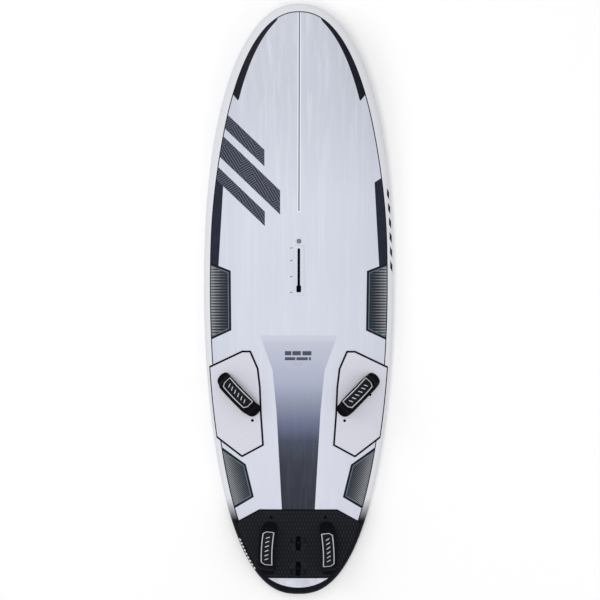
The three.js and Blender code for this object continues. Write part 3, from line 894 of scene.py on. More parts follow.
def rail_dashes():
    """Six dark dashes on the starboard rail."""
    places = [(y, float(half_width(y)) - 9) for y in np.linspace(436, 146, 6)]
    return [slanted_dash(x, y, 30, 9, -18) for y, x in places]


def tail_dashes():
    """Nine short pale dashes on the port rail beside the tail pad."""
    places = [(y, -float(half_width(y)) + 7) for y in np.linspace(-958, -1072, 9)]
    return [slanted_dash(x, y, 7, 7, -5) for y, x in places]


def deck_bars():
    """Plain bars behind the mast track."""
    first = [rounded_box(x, -211, w, 17, 1.5) for x, w in ((-42, 26), (-8, 34), (33, 36))]
    second = [rounded_box(x, -233, w, 12, 1.2) for x, w in ((-34, 42), (14, 46), (45, 8))]
    return first + second


def faint_bars():
    return [rounded_box(-16, -254, 20, 13, 2), rounded_box(8, -254, 18, 13, 2), circle(28, -254, 5.5)]


def track_ticks():
    return [slanted_dash(-30, y, 3.2, 9, 2) for y in (208, 158, 94, 31)]


def crescent():
    """The pale patch behind the tail pad, under a chord and over an arc."""
    half_chord, depth, chord_y = 120.0, 38.0, -1114.0
    radius = (half_chord**2 + depth**2) / (2 * depth)
    reach = math.asin(half_chord / radius)
    centre_y = chord_y - depth + radius
    angles = np.linspace(-reach, reach, 40)
    return [(radius * math.sin(a), centre_y - radius * math.cos(a)) for a in angles]


CENTRE_LINE = [(-2.3, 356), (2.3, 356), (2.3, 1160), (-2.3, 1160)]
CENTRE_HALO = [(-6.2, 352), (6.2, 352), (6.2, 1160), (-6.2, 1160)]
TAIL_PAINT = [(-400, -884), (400, -884), (400, -1200), (-400, -1200)]


def in_loops(loops):
    def region(points):
        found = np.zeros(len(points), bool)
        for loop in loops:
            found |= inside(loop, points)
        return found

    return region


def only_on_deck(region):
    return lambda points: region(points) & inside(PIN_INNER, points)


def both(loop):
    return [loop, mirrored(loop)]


def make_deck():
    panels = {}
    for name, panel in (("front", FRONT_PANEL), ("rear", REAR_PANEL)):
        borders = [BORDER, 0, BORDER, BORDER]
        lines = [BORDER + FINE_LINE, 0, BORDER + FINE_LINE, BORDER + FINE_LINE]
        panels[name] = (panel, polygon_inset(panel, borders), polygon_inset(panel, lines))
    groups = {
        "strip": [strip_outline()],
        "tail": [TAIL_PAINT],
        "halo": [CENTRE_HALO],
        "line": [CENTRE_LINE],
        "stripe": both(nose_stripe()),
        "band": both(RAIL_BAND),
        "border": both(FRONT_PANEL) + both(REAR_PANEL),
        "fine": both(panels["front"][1]) + both(panels["rear"][1]),
        "front": both(panels["front"][2]),
        "rear": both(panels["rear"][2]),
        "blade": BLADES,
        "bar": deck_bars() + track_ticks(),
        "faint": faint_bars(),
        "crescent": [crescent()],
        "rail_dash": rail_dashes(),
        "tail_dash": tail_dashes(),
    }
    ink = paint_shader("graphic_black", ink_colour(16, 18, 27), shine=0.1)
    looks = {
        "deck": paint_shader("deck_paint", deck_colour),
        "rail": paint_shader("rail_paint", rail_colour, 0.36, 0.1),
        "pin": ink,
        "strip": paint_shader("strip_paint", strip_colour, shine=0.15),
        "tail": paint_shader("tail_paint", ink_colour(12, 14, 20), 0.4, 0.06),
        "halo": paint_shader("line_halo", plain_colour(shade(232, 234, 242))),
        "line": paint_shader("centre_line", ink_colour(66, 70, 84), shine=0.15),
        "stripe": ink,
        "band": paint_shader("band_navy", ink_colour(31, 33, 48), shine=0.1),
        "border": ink,
        "fine": paint_shader("teal_line", ink_colour(88, 110, 118), shine=0.15),
        "front": paint_shader("front_panel_print",
            halftone_colour(5.0, 11.5, 356, 282, shade(30, 36, 48)), shine=0.12),
        "rear": paint_shader("rear_panel_print", woven_colour(9.0, (455, 0.26), shade(30, 36, 46)),
            shine=0.12),
        "blade": paint_shader("blade_print", hatch_colour, shine=0.1),
        "bar": paint_shader("bar_ink", ink_colour(64, 67, 82), shine=0.15),
        "faint": paint_shader("faint_ink", ink_colour(160, 164, 180)),
        "crescent": paint_shader("crescent_paint", ink_colour(192, 194, 206)),
        "rail_dash": ink,
        "tail_dash": paint_shader("dash_white", ink_colour(214, 216, 222)),
    }
    index = {name: i for i, name in enumerate(looks)}
    everywhere = lambda points: np.ones(len(points), bool)
    on_deck = ("strip", "halo", "line", "stripe", "band", "border", "fine", "front", "rear", "blade",
        "bar", "faint")
    regions = [
        (index["rail"], everywhere),
        (index["pin"], in_loops([PIN_OUTER])),
        (index["deck"], in_loops([PIN_INNER])),
    ]
    regions += [(index[name], only_on_deck(in_loops(groups[name]))) for name in on_deck]
    regions += [(index[name], in_loops(groups[name])) for name in ("tail", "crescent", "rail_dash",
        "tail_dash")]
    loops = [PIN_OUTER, PIN_INNER] + [loop for group in groups.values() for loop in group]
    track_hole = rounded_box(0, TRACK["y"], TRACK["width"] + 0.4, TRACK["length"] + 0.4, 4.2)
    holes = [track_hole, circle(0, VENT_Y, 13.1, 40)]
    holes += [oval(0, y, *FIN_POCKET) for y in FIN_BOLT_Y]
    holes += [circle(x, y, 9.4, 20) for x, y in insert_places()]
    deck = hull_skin("deck_skin", deck_z, loops, holes, regions, list(looks.values()), index["rail"])
    return stand_for(deck, "hull", "deck_finish", "deck_shell"), looks


def make_bottom(looks):
    hole = rounded_box(
        0, (FIN_BOX["front"] + FIN_BOX["back"]) / 2, FIN_BOX["width"] + 0.4,
        FIN_BOX["front"] - FIN_BOX["back"] + 0.4, 3.2,
    )
    regions = []
    bottom = hull_skin("bottom_skin", bottom_z, [], [hole], regions, [looks["rail"]], 0)
    stand_for(bottom, "hull", "bottom_finish", "bottom_shell", "foam_core")


def stand_for(obj, body, slot, *nodes):
    """Puts a piece on its body and hides the CAD nodes that it stands for."""
    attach(obj, body)
    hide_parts(*nodes)
    return obj


# ---------------------------------------------------------------- fittings


def track_top():
    return float(deck_z(0, TRACK["y"])) - 0.3


def make_track(deck_paint, black):
    top = track_top()
    body = extruded(
        "mast_track", rounded_box(0, TRACK["y"], TRACK["width"], TRACK["length"], 4, 8),
        top - TRACK["height"], top, [black, deck_paint],
    )
    slot = extruded(
        "slot", oval(0, TRACK["y"], TRACK["slot"], CHANNEL["length"],
            32), top - TRACK["lip"] - 1, top + 5, [black]
    )
    entry_y = TRACK["y"] - CHANNEL["length"] / 2 + ENTRY["length"] / 2
    entry = extruded(
        "entry", rounded_box(0, entry_y, ENTRY["width"], ENTRY["length"], 5,
            6), top - TRACK["lip"] - 1, top + 5, [black]
    )
    channel_top = top - TRACK["lip"]
    channel = extruded(
        "channel", rounded_box(0, TRACK["y"], CHANNEL["width"], CHANNEL["length"], 3),
        channel_top - CHANNEL["depth"], channel_top, [black],
    )
    carved(body, [slot, entry, channel])
    bevelled(body, 0.5)
    for polygon in body.data.polygons:
        flat_top = polygon.normal.z > 0.9 and polygon.center.z > (top - 0.6) * MM
        polygon.material_index = 1 if flat_top else 0
    finish_mesh(body)
    stand_for(body, "hull", "black_plastic", "mast_track_box")


def make_fin_box(black):
    front, back = FIN_BOX["front"], FIN_BOX["back"]
    body = side_prism(
        "fin_box_body",
        [(back, 0), (front, 0), (front, FIN_BOX["front_top"]), (back, FIN_BOX["back_top"])],
        FIN_BOX["width"], [black],
    )
    roof_front = FIN_BOX["front_top"] - FIN_SLOT["roof"]
    roof_back = FIN_BOX["back_top"] - FIN_SLOT["roof"]
    slot = side_prism(
        "slot",
        [
            (FIN_SLOT["back"], -1),
            (FIN_SLOT["front"], -1),
            (FIN_SLOT["front"] - FIN_SLOT["taper"], roof_front),
            (FIN_SLOT["back"] + FIN_SLOT["taper"], roof_back),
        ],
        FIN_SLOT["width"], [black],
    )
    holes = [extruded("hole", circle(0, y, FIN_BOLT_RADIUS, 28), 20, 90, [black]) for y in FIN_BOLT_Y]
    carved(body, [slot, *holes])
    bevelled(body, 0.6)
    finish_mesh(body)
    stand_for(body, "hull", "black_plastic", "fin_box")


def deck_matrix(x, y, lift=0.0):
    """The frame of a fitting set into the deck, in metres."""
    normal = deck_normal(x, y)
    turn = Vector((0, 0, 1)).rotation_difference(normal).to_matrix().to_4x4()
    place = Vector((x, y, float(deck_z(x, y)))) + normal * lift
    return Matrix.Translation(place * MM) @ turn


def make_vent(paint, black, metal, rubber):
    place = Matrix.Translation(Vector((0, VENT_Y, float(deck_z(0, VENT_Y)))) * MM)
    housing = turned(
        "vent_body",
        [(0, -18), (9.6, -18), (10, -17.6), (10, -3), (12.8, -3), (12.8, -0.9), (12.3, -0.4), (9.3, -0.4),
            (9, -0.7),
         (9, -2.2), (7.2, -2.2), (7.2, -4.2), (4.3, -4.2), (4.3, -15), (0, -15)],
        [black, paint], place, 48,
    )
    for polygon in housing.data.polygons:
        reach = math.hypot(polygon.center.x, polygon.center.y - VENT_Y * MM)
        polygon.material_index = 1 if reach > VENT_DARK_RADIUS * MM and polygon.normal.z > 0.2 else 0
    stand_for(housing, "hull", "black_plastic", "vent_housing")
    ring = [(5.8 + 0.85 * math.cos(a), -3.1 + 0.85 * math.sin(a)) for a in np.linspace(0, 2 * math.pi, 13)]
    ring[-1] = ring[0]
    seal = turned("vent_ring", ring, [rubber], place, 48)
    stand_for(seal, "vent_seal", "seal_rubber", "vent_seal")
    screw = turned(
        "vent_plug",
        [(0, -14), (2.8, -14), (3.7, -12.8), (3.7, -1.8), (7.8, -1.8), (8, -1.5), (8, -0.4), (7.6, 0.2),
            (7.0, 0.5),
         (3.4, 0.5), (3.0, 0.2), (2.9, -0.9), (0, -0.9)],
        [metal], place, 48,
    )
    slot = new_slot_cutter(place, 1.8, 17, 1.1, 0.5)
    carved(screw, [slot])
    finish_mesh(screw)
    stand_for(screw, "vent_screw", "vent_metal", "vent_screw")


def new_slot_cutter(place, width, length, depth, top):
    cutter = extruded("slot", rounded_box(0, 0, width, length, width / 3), top - depth, top + 3, [])
    cutter.data.transform(place)
    return cutter


def insert_places():
    anchors = [p for strap in STRAPS.values() for p in strap["anchors"]]
    return anchors + list(SPARE_INSERTS.values())


def make_insert(name, node, x, y, black):
    insert = turned(
        name,
        [(0, -22.5), (8.4, -22.5), (9, -21.9), (9, -3.1), (8.4, -2.5), (3.4, -2.5), (2.9, -3),
            (2.9, -18.5), (0, -18.5)],
        [black], deck_matrix(x, y), 32,
    )
    stand_for(insert, "hull", "black_plastic", node)


# ---------------------------------------------------------------- pads


def front_pad_outline(side):
    inset = 11.0
    rail = [(float(half_width(y)) - inset, y) for y in np.linspace(-551, -264, 16)]
    inner = [(226, -201), (191, -201), (160, -272), (151, -348), (147, -450), (138, -580), (226, -628)]
    return [(side * x, y) for x, y in rail + inner]


def grain_emboss(x, y):
    """Short slanted grains in staggered rows, pressed a little into the foam."""
    pitch_x, pitch_y = 11.0, 22.0
    row = np.floor(y / (pitch_y / 2))
    u = (x + (row % 2) * pitch_x / 2 + 0.25 * y) / pitch_x
    v = y / (pitch_y / 2)
    du = np.abs(u - np.floor(u) - 0.5) * 2
    dv = np.abs(v - np.floor(v) - 0.5) * 2
    return -0.55 * smooth((du - 0.35) / 0.5) * smooth(1.3 - dv)


def lozenge_emboss(x, y):
    """Staggered upright lozenges that stand up from the foam."""
    pitch_x, pitch_y = 13.0, 32.0
    best = np.zeros_like(x)
    for shift in (0.0, 0.5):
        u = x / pitch_x + shift
        v = y / pitch_y + shift
        du = np.abs(u - np.floor(u) - 0.5) * 2
        dv = np.abs(v - np.floor(v) - 0.5) * 2
        best = np.maximum(best, smooth((1.0 - du - dv) * 1.9))
    return 0.95 * best - 0.6


def make_front_pad(side, name, node, materials, holes):
    outline = front_pad_outline(side)
    rail_edges = 15
    distances = [4.2] * rail_edges + [7.5] * (len(outline) - rail_edges - 1) + [7.5]
    border = polygon_inset(outline, distances)
    spacing = 3.0
    pad = pad_sheet(name, outline, border, spacing, grain_emboss, materials, holes)
    stand_for(pad, "hull", "grey_eva", node)


def make_tail_pad(materials, holes):
    rail = [(float(half_width(y)) - 12, y) for y in np.linspace(-1072, -890, 14)]
    starboard = [(124, -1112), *rail, (156, -836)]
    outline = starboard + mirrored(starboard)[::-1]
    border = polygon_inset(outline, [5.0] * len(outline))
    spacing = 3.2
    pad = pad_sheet("rear_grip", outline, border, spacing, lozenge_emboss, materials, holes)
    stand_for(pad, "hull", "black_eva", "tail_pad")


# ---------------------------------------------------------------- straps

# Heights above a strap's anchors, in mm: where its loop starts to settle and over what height.
SETTLE_START, SETTLE_SPAN = 14, 58

# The part of the vent's top that isn't painted like the deck.
VENT_DARK_RADIUS = 9.1

# Each loop's slump is how far its top has settled, towards its rear anchor and outboard.
STRAPS = {
    "front_left_strap": {"anchors": tuple(mirrored(FRONT_ANCHORS)), "lean": 0.0, "slump": (-2.0, -9.0)},
    "front_right_strap": {"anchors": FRONT_ANCHORS, "lean": 0.0, "slump": (2.0, -14.5)},
    "rear_left_strap": {"anchors": tuple(mirrored(REAR_ANCHORS)), "lean": REAR_LEAN, "slump": (-9.0, -8.0)},
    "rear_right_strap": {"anchors": REAR_ANCHORS, "lean": REAR_LEAN, "slump": (-3.0, -13.0)},
}
HALF_SPAN, RISE, CENTRE_HEIGHT = 76.0, 36.0, 34.0
ANCHOR_X = 75.0
FLAP_RADIUS, FLAP_SQUARENESS = 31.5, 2.5
WEBBING_WIDTH, WEBBING_THICKNESS = 35.0, 2.2
PANEL_START, PANEL_HALF_WIDTH, PANEL_MIDDLE = 35.0, 23.5, 92.0
HANG = 4.5
CHANNEL_Y = 31.0


def strap_matrix(name):
    """A strap's frame in metres: x from its first anchor to its second, z up and leaning outboard."""
    anchors, lean = STRAPS[name]["anchors"], STRAPS[name]["lean"]
    normals = [deck_normal(x, y) for x, y in anchors]
    bases = [Vector((x, y, float(deck_z(x, y)))) + n * STRAP_BASE for (x, y), n in zip(anchors, normals)]
    middle = (bases[0] + bases[1]) / 2
    span = (bases[1] - bases[0]).normalized()
    up = normals[0] + normals[1]
    up = (up - span * up.dot(span)).normalized()
    sideways = Vector((math.copysign(1, middle.x), 0, 0))
    sign = math.copysign(1, up.cross(sideways).dot(span))
    up = Matrix.Rotation(sign * math.radians(lean), 3, span) @ up
    across = up.cross(span)
    matrix = Matrix((span, across, up)).transposed().to_4x4()
    return Matrix.Translation(middle * MM) @ matrix


def resampled(points, count):
    """A path of evenly spaced (x, z) points, its outward normals and each point's share of the length."""
    points = np.array(points, float)
    steps = np.concatenate([[0], np.cumsum(np.linalg.norm(np.diff(points, axis=0), axis=1))])
    even = np.linspace(0, steps[-1], count)
    path = np.column_stack([np.interp(even, steps, points[:, i]) for i in range(2)])
    for _ in range(3):
        path[1:-1] = (path[:-2] + 2 * path[1:-1] + path[2:]) / 4
    tangent = np.gradient(path, axis=0)
    tangent /= np.linalg.norm(tangent, axis=1)[:, None]
    return path, np.column_stack([tangent[:, 1], -tangent[:, 0]]), even / steps[-1]


def arch_points(start_degrees):
    turn = math.radians(start_degrees)
    angles = np.linspace(turn, math.pi - turn, 121)
    return [(HALF_SPAN * math.cos(a), CENTRE_HEIGHT + RISE * math.sin(a)) for a in angles]


def cover_path(count):
    """The padding's middle line: a flap that lies over the anchor, the leg, the arch, and back down."""
    flap = [(106.5, 5.2), (101, 6.6), (95, 8.2), (90, 10.2), (86, 13), (82.5, 17), (79.8, 22), (78, 27)]
    return resampled(flap + arch_points(2) + [(-x, z) for x, z in flap[::-1]], count)


def webbing_path(count):
    """The webbing's middle line: a foot under the anchor plate, the leg, the arch, and back down."""
    foot = [(91, 1.4), (72, 1.4), (67.5, 2.2), (65.6, 5), (66, 9), (69, 15), (73, 22), (75.4, 28)]
    return resampled(foot + arch_points(2) + [(-x, z) for x, z in foot[::-1]], count)


def strip_mesh(name, path, normals, section_of, materials):
    """A closed strip along a path; section_of gives (y, out) pairs for each station."""
    rings = []
    for i, ((x, z), (nx, nz)) in enumerate(zip(path, normals)):
        rings.append([(x + nx * out, y, z + nz * out) for y, out in section_of(i)])
    count = len(rings[0])
    verts = [p for ring in rings for p in ring]
    faces = []
    for r in range(len(rings) - 1):
        for k in range(count):
            n = (k + 1) % count
            faces.append((r * count + k, r * count + n, (r + 1) * count + n, (r + 1) * count + k))
    faces.append(tuple(range(count)))
    faces.append(tuple(range((len(rings) - 1) * count, len(rings) * count)))
    return new_object(name, verts, faces, materials)


def superellipse(width, thickness, squareness, count):
    points = []
    for k in range(count):
        a = 2 * math.pi * (k + 0.5) / count
        c, s = math.cos(a), math.sin(a)
        y = math.copysign(abs(c) ** squareness, c) * width / 2
        out = math.copysign(abs(s) ** squareness, s) * thickness / 2
        points.append((y, out))
    return points


def cover_width(x, z):
    """The padding's width at a point of its middle line, rounded off round each anchor."""
    body = 61.0 + 6.5 * float(smooth((z - 30) / 35))
    past = abs(x) - ANCHOR_X
    if past <= 0 or z > 26:
        return body
    share = max(1 - (past / FLAP_RADIUS) ** FLAP_SQUARENESS, 0.004)
    tongue = 2 * FLAP_RADIUS * share ** (1 / FLAP_SQUARENESS)
    return min(body, tongue)


def cover_thickness(z):
    return 5.2 + 7.3 * float(smooth((z - 7) / 24))


def hang(z, side):
    """How far the loop's padding hangs outboard of its anchors at a height."""
    return side * HANG * float(smooth((z - 18) / 42))


def make_cover_mesh(side):
    """One padded cover in the strap's own frame, blown up a little by a cloth simulation."""
    path, normals, _ = cover_path(82)

    def section(i):
        x, z = path[i]
        shift = hang(z, side)
        outline = superellipse(cover_width(x, z), cover_thickness(z), 0.62, 28)
        return [(y + shift, out) for y, out in outline]

    cover = strip_mesh("cover_master", path, normals, section, [])
    bm = bmesh.new()
    bm.from_mesh(cover.data)
    bmesh.ops.recalc_face_normals(bm, faces=bm.faces)
    bm.to_mesh(cover.data)
    bm.free()
    inflate(cover, pressure=4.0, cap=0.0012)
    smoother = cover.modifiers.new("smooth", "SUBSURF")
    smoother.levels = 1
    apply_modifiers(cover)
    press_channel(cover, side)
    finish_mesh(cover, 60)
    return cover


def inflate(obj, pressure, cap):
    """Swells a closed mesh with cloth, and holds every point within the cap of where it was."""
    start = np.array([v.co for v in obj.data.vertices])
    cloth = obj.modifiers.new("cloth", "CLOTH")
    cloth.settings.use_pressure = True
    cloth.settings.uniform_pressure_force = pressure
    cloth.settings.effector_weights.gravity = 0
    cloth.settings.quality = 5
    scene = bpy.context.scene
    for step in range(1, 21):
        scene.frame_set(step)
    apply_modifiers(obj)
    scene.frame_set(1)
    moved = np.array([v.co for v in obj.data.vertices]) - start
    far = np.maximum(np.linalg.norm(moved, axis=1) / cap, 1)
    obj.data.vertices.foreach_set("co", (start + moved / far[:, None]).astype(np.float32).ravel())
    obj.data.update()


def press_channel(obj, side):
    """Sinks a sewn channel along the outboard side of the cover's top."""
    co = np.array([v.co for v in obj.data.vertices]) / MM
    angle = np.arctan2((co[:, 2] - CENTRE_HEIGHT) / RISE, co[:, 0] / HALF_SPAN)
    normal = np.column_stack([np.cos(angle) / HALF_SPAN, np.sin(angle) / RISE])
    normal /= np.linalg.norm(normal, axis=1)[:, None]
    middle = np.column_stack([HALF_SPAN * np.cos(angle), CENTRE_HEIGHT + RISE * np.sin(angle)])
    outside = ((co[:, [0, 2]] - middle) * normal).sum(1) > 0
    channel = np.exp(-(((co[:, 1] - side * CHANNEL_Y) / 1.4) ** 2)) * outside * smooth((co[:, 2] - 34) / 10)
    co[:, 0] -= normal[:, 0] * channel * 0.9
    co[:, 2] -= normal[:, 1] * channel * 0.9
    obj.data.vertices.foreach_set("co", (co * MM).astype(np.float32).ravel())
    obj.data.update()


def mesh_tree(obj):
    mesh = obj.data
    return BVHTree.FromPolygons([v.co for v in mesh.vertices], [p.vertices for p in mesh.polygons])


def surface_finder(obj):
    tree = mesh_tree(obj)

    def find(angle, y, lift):
        """The point over the cover at an angle round the loop and a place across it, in millimetres."""
        normal = Vector((math.cos(angle) / HALF_SPAN, 0, math.sin(angle) / RISE)).normalized()
        middle = Vector((HALF_SPAN * math.cos(angle), y, CENTRE_HEIGHT + RISE * math.sin(angle)))
        hit, *_ = tree.ray_cast((middle + normal * 30) * MM, -normal)
        base = hit / MM if hit is not None else middle + normal * 7
        return base + normal * lift

    return find


def panel_outline(side):
    """The panel's plan as (angle in degrees, y) points: square inboard and cut off outboard."""
    start, half = PANEL_START, PANEL_HALF_WIDTH
    return [
        (start, -side * half),
        (180 - start, -side * half),
        (180 - start, side * half * 0.35),
        (180 - start - 9, side * half),
        (start + 9, side * half),
        (start, side * half * 0.35),
    ]


def panel_plan(side):
    """The panel's outline in millimetres along and across its middle line."""
    reach = 72.0
    scale = 2 * reach / (180 - 2 * PANEL_START)
    return [((a - 90) * scale, y) for a, y in panel_outline(side)], scale


def make_panel_meshes(find, side, rubber, pale):
    """The moulded panel with its raised pale edge and slanted bars, in the strap's own frame."""
    outline, scale = panel_plan(side)
    inner = polygon_inset(outline, [3.8] * len(outline))
    bars = []
    for k in range(6):
        x = -42.5 + 17 * k
        bars.append([(x - 5.5, -7.5), (x - 1.5, -7.5), (x + 5.5, 7.5), (x + 1.5, 7.5)])
    plan = Plan()
    outer_loop = plan.loop(outline, 3.0)
    inner_loop = plan.loop(inner, 3.0)
    bar_loops = [plan.loop(bar, 3.0) for bar in bars]
    grid_x, grid_y = np.meshgrid(np.arange(-69, 70, 3.0), np.arange(-24, 25, 3.0))
    grid = np.column_stack([grid_x.ravel(), grid_y.ravel()])
    plan.scatter(grid[inside(polygon_inset(outline, [5.0] * len(outline)), grid)])
    verts, faces = plan.triangles()
    keep = inside(outer_loop, verts[faces].mean(1))
    verts, faces = drop_unused(verts, faces[keep])
    centres = verts[faces].mean(1)
    pale_face = ~inside(inner_loop, centres)
    for bar in bar_loops:
        pale_face |= inside(bar, centres)
    raised = np.zeros(len(verts))
    for face, is_pale in zip(faces, pale_face):
        if is_pale:
            raised[face] = 1
    top, bottom = [], []
    for (x, y), lift in zip(verts, raised):
        angle = math.radians(PANEL_MIDDLE + x / scale)
        top.append(find(angle, y, 1.6 + 0.7 * lift))
        bottom.append(find(angle, y, 0.15))
    points, all_faces, paints = closed_sheet(
        np.array(top), np.array(bottom), faces, pale_face.astype(int), 0
    )
    return new_object("panel_master", points, all_faces, [rubber, pale], paints, 45.0)


def make_stitches(find, side, thread):
    """A row of short stitches in the sewn channel."""
    verts, faces = [], []
    for degrees in np.arange(14, 164, 3.6):
        a, b = (find(math.radians(degrees + d), side * CHANNEL_Y, 0.25) for d in (0, 2.4))
        add_capsule(verts, faces, a, b, 0.55)
    return new_object("stitch_master", verts, faces, [thread], None, 60)


def add_capsule(verts, faces, start, end, radius, sides=6):
    """A short closed rod with pointed ends."""
    along = (end - start).normalized()
    one = along.orthogonal().normalized()
    two = along.cross(one)
    first = len(verts)
    verts.append(tuple(start))
    for share in (0.2, 0.8):
        centre = start.lerp(end, share)
        for k in range(sides):
            a = 2 * math.pi * k / sides
            verts.append(tuple(centre + (one * math.cos(a) + two * math.sin(a)) * radius))
    verts.append(tuple(end))
    last = len(verts) - 1
    for k in range(sides):
        n = (k + 1) % sides
        faces.append((first, first + 1 + n, first + 1 + k))
        faces.append((first + 1 + k, first + 1 + n, first + 1 + sides + n, first + 1 + sides + k))
        faces.append((last, first + 1 + sides + k, first + 1 + sides + n))


def make_binding(cover, tape):
    """The tape that binds the cover's two long edges, down to the flaps."""
    tree = mesh_tree(cover)
    path, normals, _ = cover_path(150)
    verts, faces = [], []
    for side in (-1, 1):
        rings = []
        for (x, z), (nx, nz) in zip(path, normals):
            if abs(x) > ANCHOR_X + 16 and z < 20:
                continue
            hit, *_ = tree.ray_cast(Vector((x, side * 90, z)) * MM, Vector((0, -side, 0)))
            y = hit.y / MM - side * 0.7
            reach = 0.24 * cover_thickness(z)
            ring = []
            for k in range(8):
                a = 2 * math.pi * k / 8
                out = reach * math.sin(a)
                ring.append((x + nx * out, y + 1.4 * math.cos(a), z + nz * out))
            rings.append(ring)
        first = len(verts)
        verts += [p for ring in rings for p in ring]
        for r in range(len(rings) - 1):
            for k in range(8):
                n = (k + 1) % 8
                a, b = first + r * 8, first + (r + 1) * 8
                faces.append((a + k, a + n, b + n, b + k))
        faces.append(tuple(range(first, first + 8)))
        faces.append(tuple(range(first + (len(rings) - 1) * 8, first + len(rings) * 8)))
    return new_object("binding_master", verts, faces, [tape], None, 60)


def make_webbing_mesh(webbing):
    """The flat woven webbing inside the cover, down to its feet under the anchor plates."""
    path, normals, _ = webbing_path(150)
    ribs = 9

    def section(i):
        half = WEBBING_THICKNESS / 2
        top, low = [], []
        for k in range(ribs * 4 + 1):
            y = WEBBING_WIDTH * (k / (ribs * 4) - 0.5)
            rib = 0.16 * math.cos(2 * math.pi * k / 4)
            edge = 1 - 0.35 * smooth((abs(y) - WEBBING_WIDTH / 2 + 1.2) / 1.2)
            top.append((y, (half + rib) * edge))
            low.append((y, -(half + rib) * edge))
        return top + low[::-1]

    return strip_mesh("webbing_master", path, normals, section, [webbing])


def copy_of(master, name, matrix, slump, materials=None):
    """A copy of a strap's piece, with its loop settled to one side, in its place on the board."""
    obj = bpy.data.objects.new(name, master.data.copy())
    bpy.context.scene.collection.objects.link(obj)
    co = np.array([v.co for v in obj.data.vertices])
    share = smooth((co[:, 2] / MM - SETTLE_START) / SETTLE_SPAN)
    co[:, :2] += share[:, None] * np.array(slump) * MM
    obj.data.vertices.foreach_set("co", co.astype(np.float32).ravel())
    obj.data.transform(matrix)
    if materials:
        obj.data.materials.clear()
        for material in materials:
            obj.data.materials.append(material)
    return obj


def bend_with(obj, strap):
    """Bakes the piece's placing into its mesh."""
    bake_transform(obj)


def make_anchor(name, strap, end, x, y, black, steel):
    """A washer plate and a countersunk cap screw on one foot of a strap."""
    matrix = deck_matrix(x, y, STRAP_BASE)
    plate = turned(
        f"{name}_washer",
        [(3.4, 2.9), (15.2, 2.9), (17, 3.3), (17, 4.1), (15.6, 5.0), (6.4, 5.2), (5.6, 4.6), (3.4, 4.6),
            (3.4, 2.9)],
        [black], matrix, 48,
    )
    stand_for(plate, "hull", "black_plastic", f"{strap}_{end}_plate")
    screw = turned(
        f"{name}_bolt",
        [(0, -20), (2.2, -18.4), (2.4, -17.8), (2.4, 4.9), (5.9, 5.3), (6.3, 5.9), (5.6, 7.4), (3.9, 8.3),
            (2.6, 8.5),
         (2.4, 8.2), (2.3, 6.2), (0, 5.9)],
        [steel], matrix, 36,
    )
    stand_for(screw, "hull", "screw_steel", f"{strap}_{end}_screw")


def make_straps(looks):
    masters = {}
    for side in (-1, 1):
        cover = make_cover_mesh(side)
        find = surface_finder(cover)
        masters[side] = {
            "cover": cover,
            "panel": make_panel_meshes(find, side, looks["panel"], looks["edge"]),
            "stitches": make_stitches(find, side, looks["thread"]),
            "binding": make_binding(cover, looks["binding"]),
        }
    webbing_master = make_webbing_mesh(looks["webbing"])
    for strap, facts in STRAPS.items():
        matrix = strap_matrix(strap)
        outboard = 1 if (matrix.to_3x3() @ Vector((0, 1, 0))).x * matrix.translation.x > 0 else -1
        parts = masters[outboard]
        slump = (facts["slump"][0], facts["slump"][1] * outboard)
        cover = copy_of(parts["cover"], f"{strap}_padding", matrix, slump, [looks["cover"]])
        bend_with(cover, strap)
        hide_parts(f"{strap}_cover", f"{strap}_front_flap", f"{strap}_rear_flap")
        webbing = copy_of(webbing_master, f"{strap}_band", matrix, slump)
        bend_with(webbing, strap)
        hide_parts(f"{strap}_webbing")
        tape = copy_of(parts["binding"], f"{strap}_binding", matrix, slump)
        bend_with(tape, strap)
        panel = copy_of(parts["panel"], f"{strap}_badge", matrix, slump)
        bend_with(panel, strap)
        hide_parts(f"{strap}_panel")
        seam = copy_of(parts["stitches"], f"{strap}_stitching", matrix, slump)
        bend_with(seam, strap)
        for end, (x, y) in zip(("front", "rear"), facts["anchors"]):
            make_anchor(f"{strap}_{end}", strap, end, x, y, looks["black"], looks["steel"])
            make_insert(f"{strap}_{end}_socket", f"{strap}_{end}_insert", x, y, looks["black"])
    for master in (webbing_master, *masters[-1].values(), *masters[1].values()):
        bpy.data.objects.remove(master)


# ---------------------------------------------------------------- stage


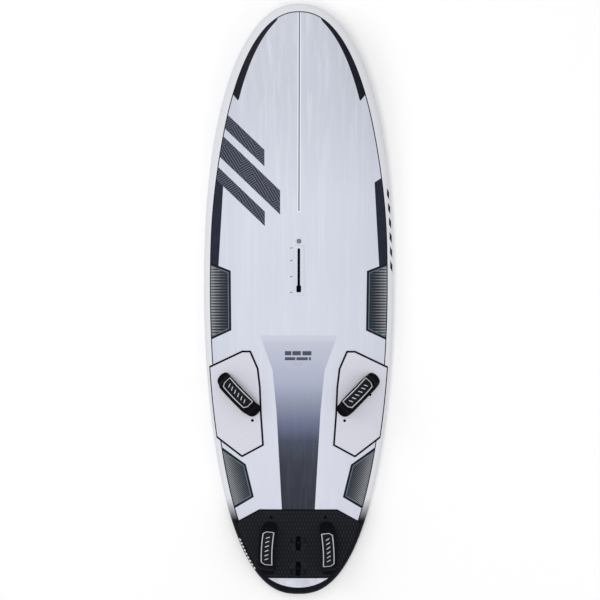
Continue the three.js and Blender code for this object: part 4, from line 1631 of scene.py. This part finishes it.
def make_stage():
    scene = bpy.context.scene
    floor_shader = Shader("floor_white", 0.9)
    floor_shader.colour((0.985, 0.985, 0.985))
    reach = 14000
    corners = [(-reach, -reach, -0.4), (reach, -reach, -0.4), (reach, reach, -0.4), (-reach, reach, -0.4)]
    floor = new_object("floor", corners,
                       [(0, 1, 2, 3)], [floor_shader.material])
    floor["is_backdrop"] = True
    world = bpy.data.worlds.new("studio")
    scene.world = world
    world.use_nodes = True
    world.node_tree.nodes["Background"].inputs["Color"].default_value = (1, 1, 1, 1)
    world.node_tree.nodes["Background"].inputs["Strength"].default_value = 0.62
    sun_data = bpy.data.lights.new("overhead", "SUN")
    sun_data.energy = 0.95
    sun_data.angle = math.radians(25)
    sun = bpy.data.objects.new("overhead", sun_data)
    scene.collection.objects.link(sun)
    sun.rotation_euler = (math.radians(4), math.radians(-6), 0)
    for place, size, energy in (((-2.6, 1.6, 3.0), 2.0, 22), ((2.6, -1.2, 3.4), 3.0, 10)):
        light_data = bpy.data.lights.new("softbox", "AREA")
        light_data.size = size
        light_data.energy = energy
        light = bpy.data.objects.new("softbox", light_data)
        scene.collection.objects.link(light)
        light.location = place
        light.rotation_euler = (-Vector(place)).to_track_quat("-Z", "Y").to_euler()
    scene.view_settings.view_transform = "Standard"
    camera_data = bpy.data.cameras.new("camera")
    camera_data.lens = 200
    camera_data.sensor_width = 36
    camera = bpy.data.objects.new("camera", camera_data)
    scene.collection.objects.link(camera)
    camera.location = (0.005, 0.0015, 13.42)
    camera.rotation_euler = (0, 0, math.radians(0.12))
    scene.camera = camera


def main():
    make_stage()
    black = plastic_shader("moulded_black", shade(26, 27, 31))
    # A near-black copy of the moulded black for the mast track, fin box, vent and spare sockets, darkened
    # as painted shade for their deep slots and pockets.
    shaded_black = plastic_shader("black_with_painted_shade", shade(6, 7, 10), 0.6, 0.03)
    steel = metal_shader("stainless", (0.62, 0.62, 0.63))
    vent_metal = metal_shader("vent_grey", (0.16, 0.165, 0.18), 0.45)
    rubber = plastic_shader("rubber_black", shade(20, 20, 22), 0.7)
    _, deck_looks = make_deck()
    make_bottom(deck_looks)
    make_track(deck_looks["deck"], shaded_black)
    make_fin_box(shaded_black)
    make_vent(deck_looks["deck"], shaded_black, vent_metal, rubber)
    for name, (x, y) in SPARE_INSERTS.items():
        make_insert(f"{name}_socket", name, x, y, shaded_black)

    # For the pale and black foam, the second colour is the painted highlight on the raised embossing and
    # the first the painted shade in its hollows.
    grey_eva = eva_shader("eva_pale", shade(207, 207, 218), shade(214, 215, 225), 900, -0.5, 0.0)
    black_edge = eva_shader("eva_edge", shade(10, 11, 17), shade(18, 19, 26), 900, -1, 1)
    black_eva = eva_shader("eva_black", shade(16, 17, 22), shade(40, 41, 46), 900, -0.6, 0.35)
    holes = [circle(x, y, PAD_HOLE_RADIUS, 20) for x, y in insert_places()]
    left = [h for h in holes if h[0][0] < 0 and h[0][1] > -700]
    right = [h for h in holes if h[0][0] > 0 and h[0][1] > -700]
    rear = [h for h in holes if h[0][1] < -700]
    make_front_pad(-1, "front_left_grip", "front_left_pad", [grey_eva, black_edge], left)
    make_front_pad(1, "front_right_grip", "front_right_pad", [grey_eva, black_edge], right)
    pockets = [oval(0, y, FIN_POCKET[0] + 2, FIN_POCKET[1] + 2, 28) for y in FIN_BOLT_Y]
    make_tail_pad([black_eva, black_edge], rear + pockets)

    make_straps({
        "cover": fabric_shader("strap_neoprene", shade(8, 8, 13), shade(22, 22, 28), 1.6),
        "binding": fabric_shader("binding_tape", shade(8, 8, 12), shade(22, 23, 28), 1.0),
        "webbing": fabric_shader("woven_nylon", shade(18, 18, 22), shade(46, 47, 53), 1.4),
        "thread": fabric_shader("thread_grey", shade(26, 26, 31), shade(52, 53, 59), 0.5),
        "panel": plastic_shader("panel_rubber", shade(15, 16, 24), 0.62),
        "edge": plastic_shader("panel_edge", shade(184, 185, 192), 0.5),
        "black": black,
        "steel": steel,
    })
    sizes = {"cad": CAD_BOX, "visual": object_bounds()}
    {key: [list(corner) for corner in box] for key, box in sizes.items()}


main()
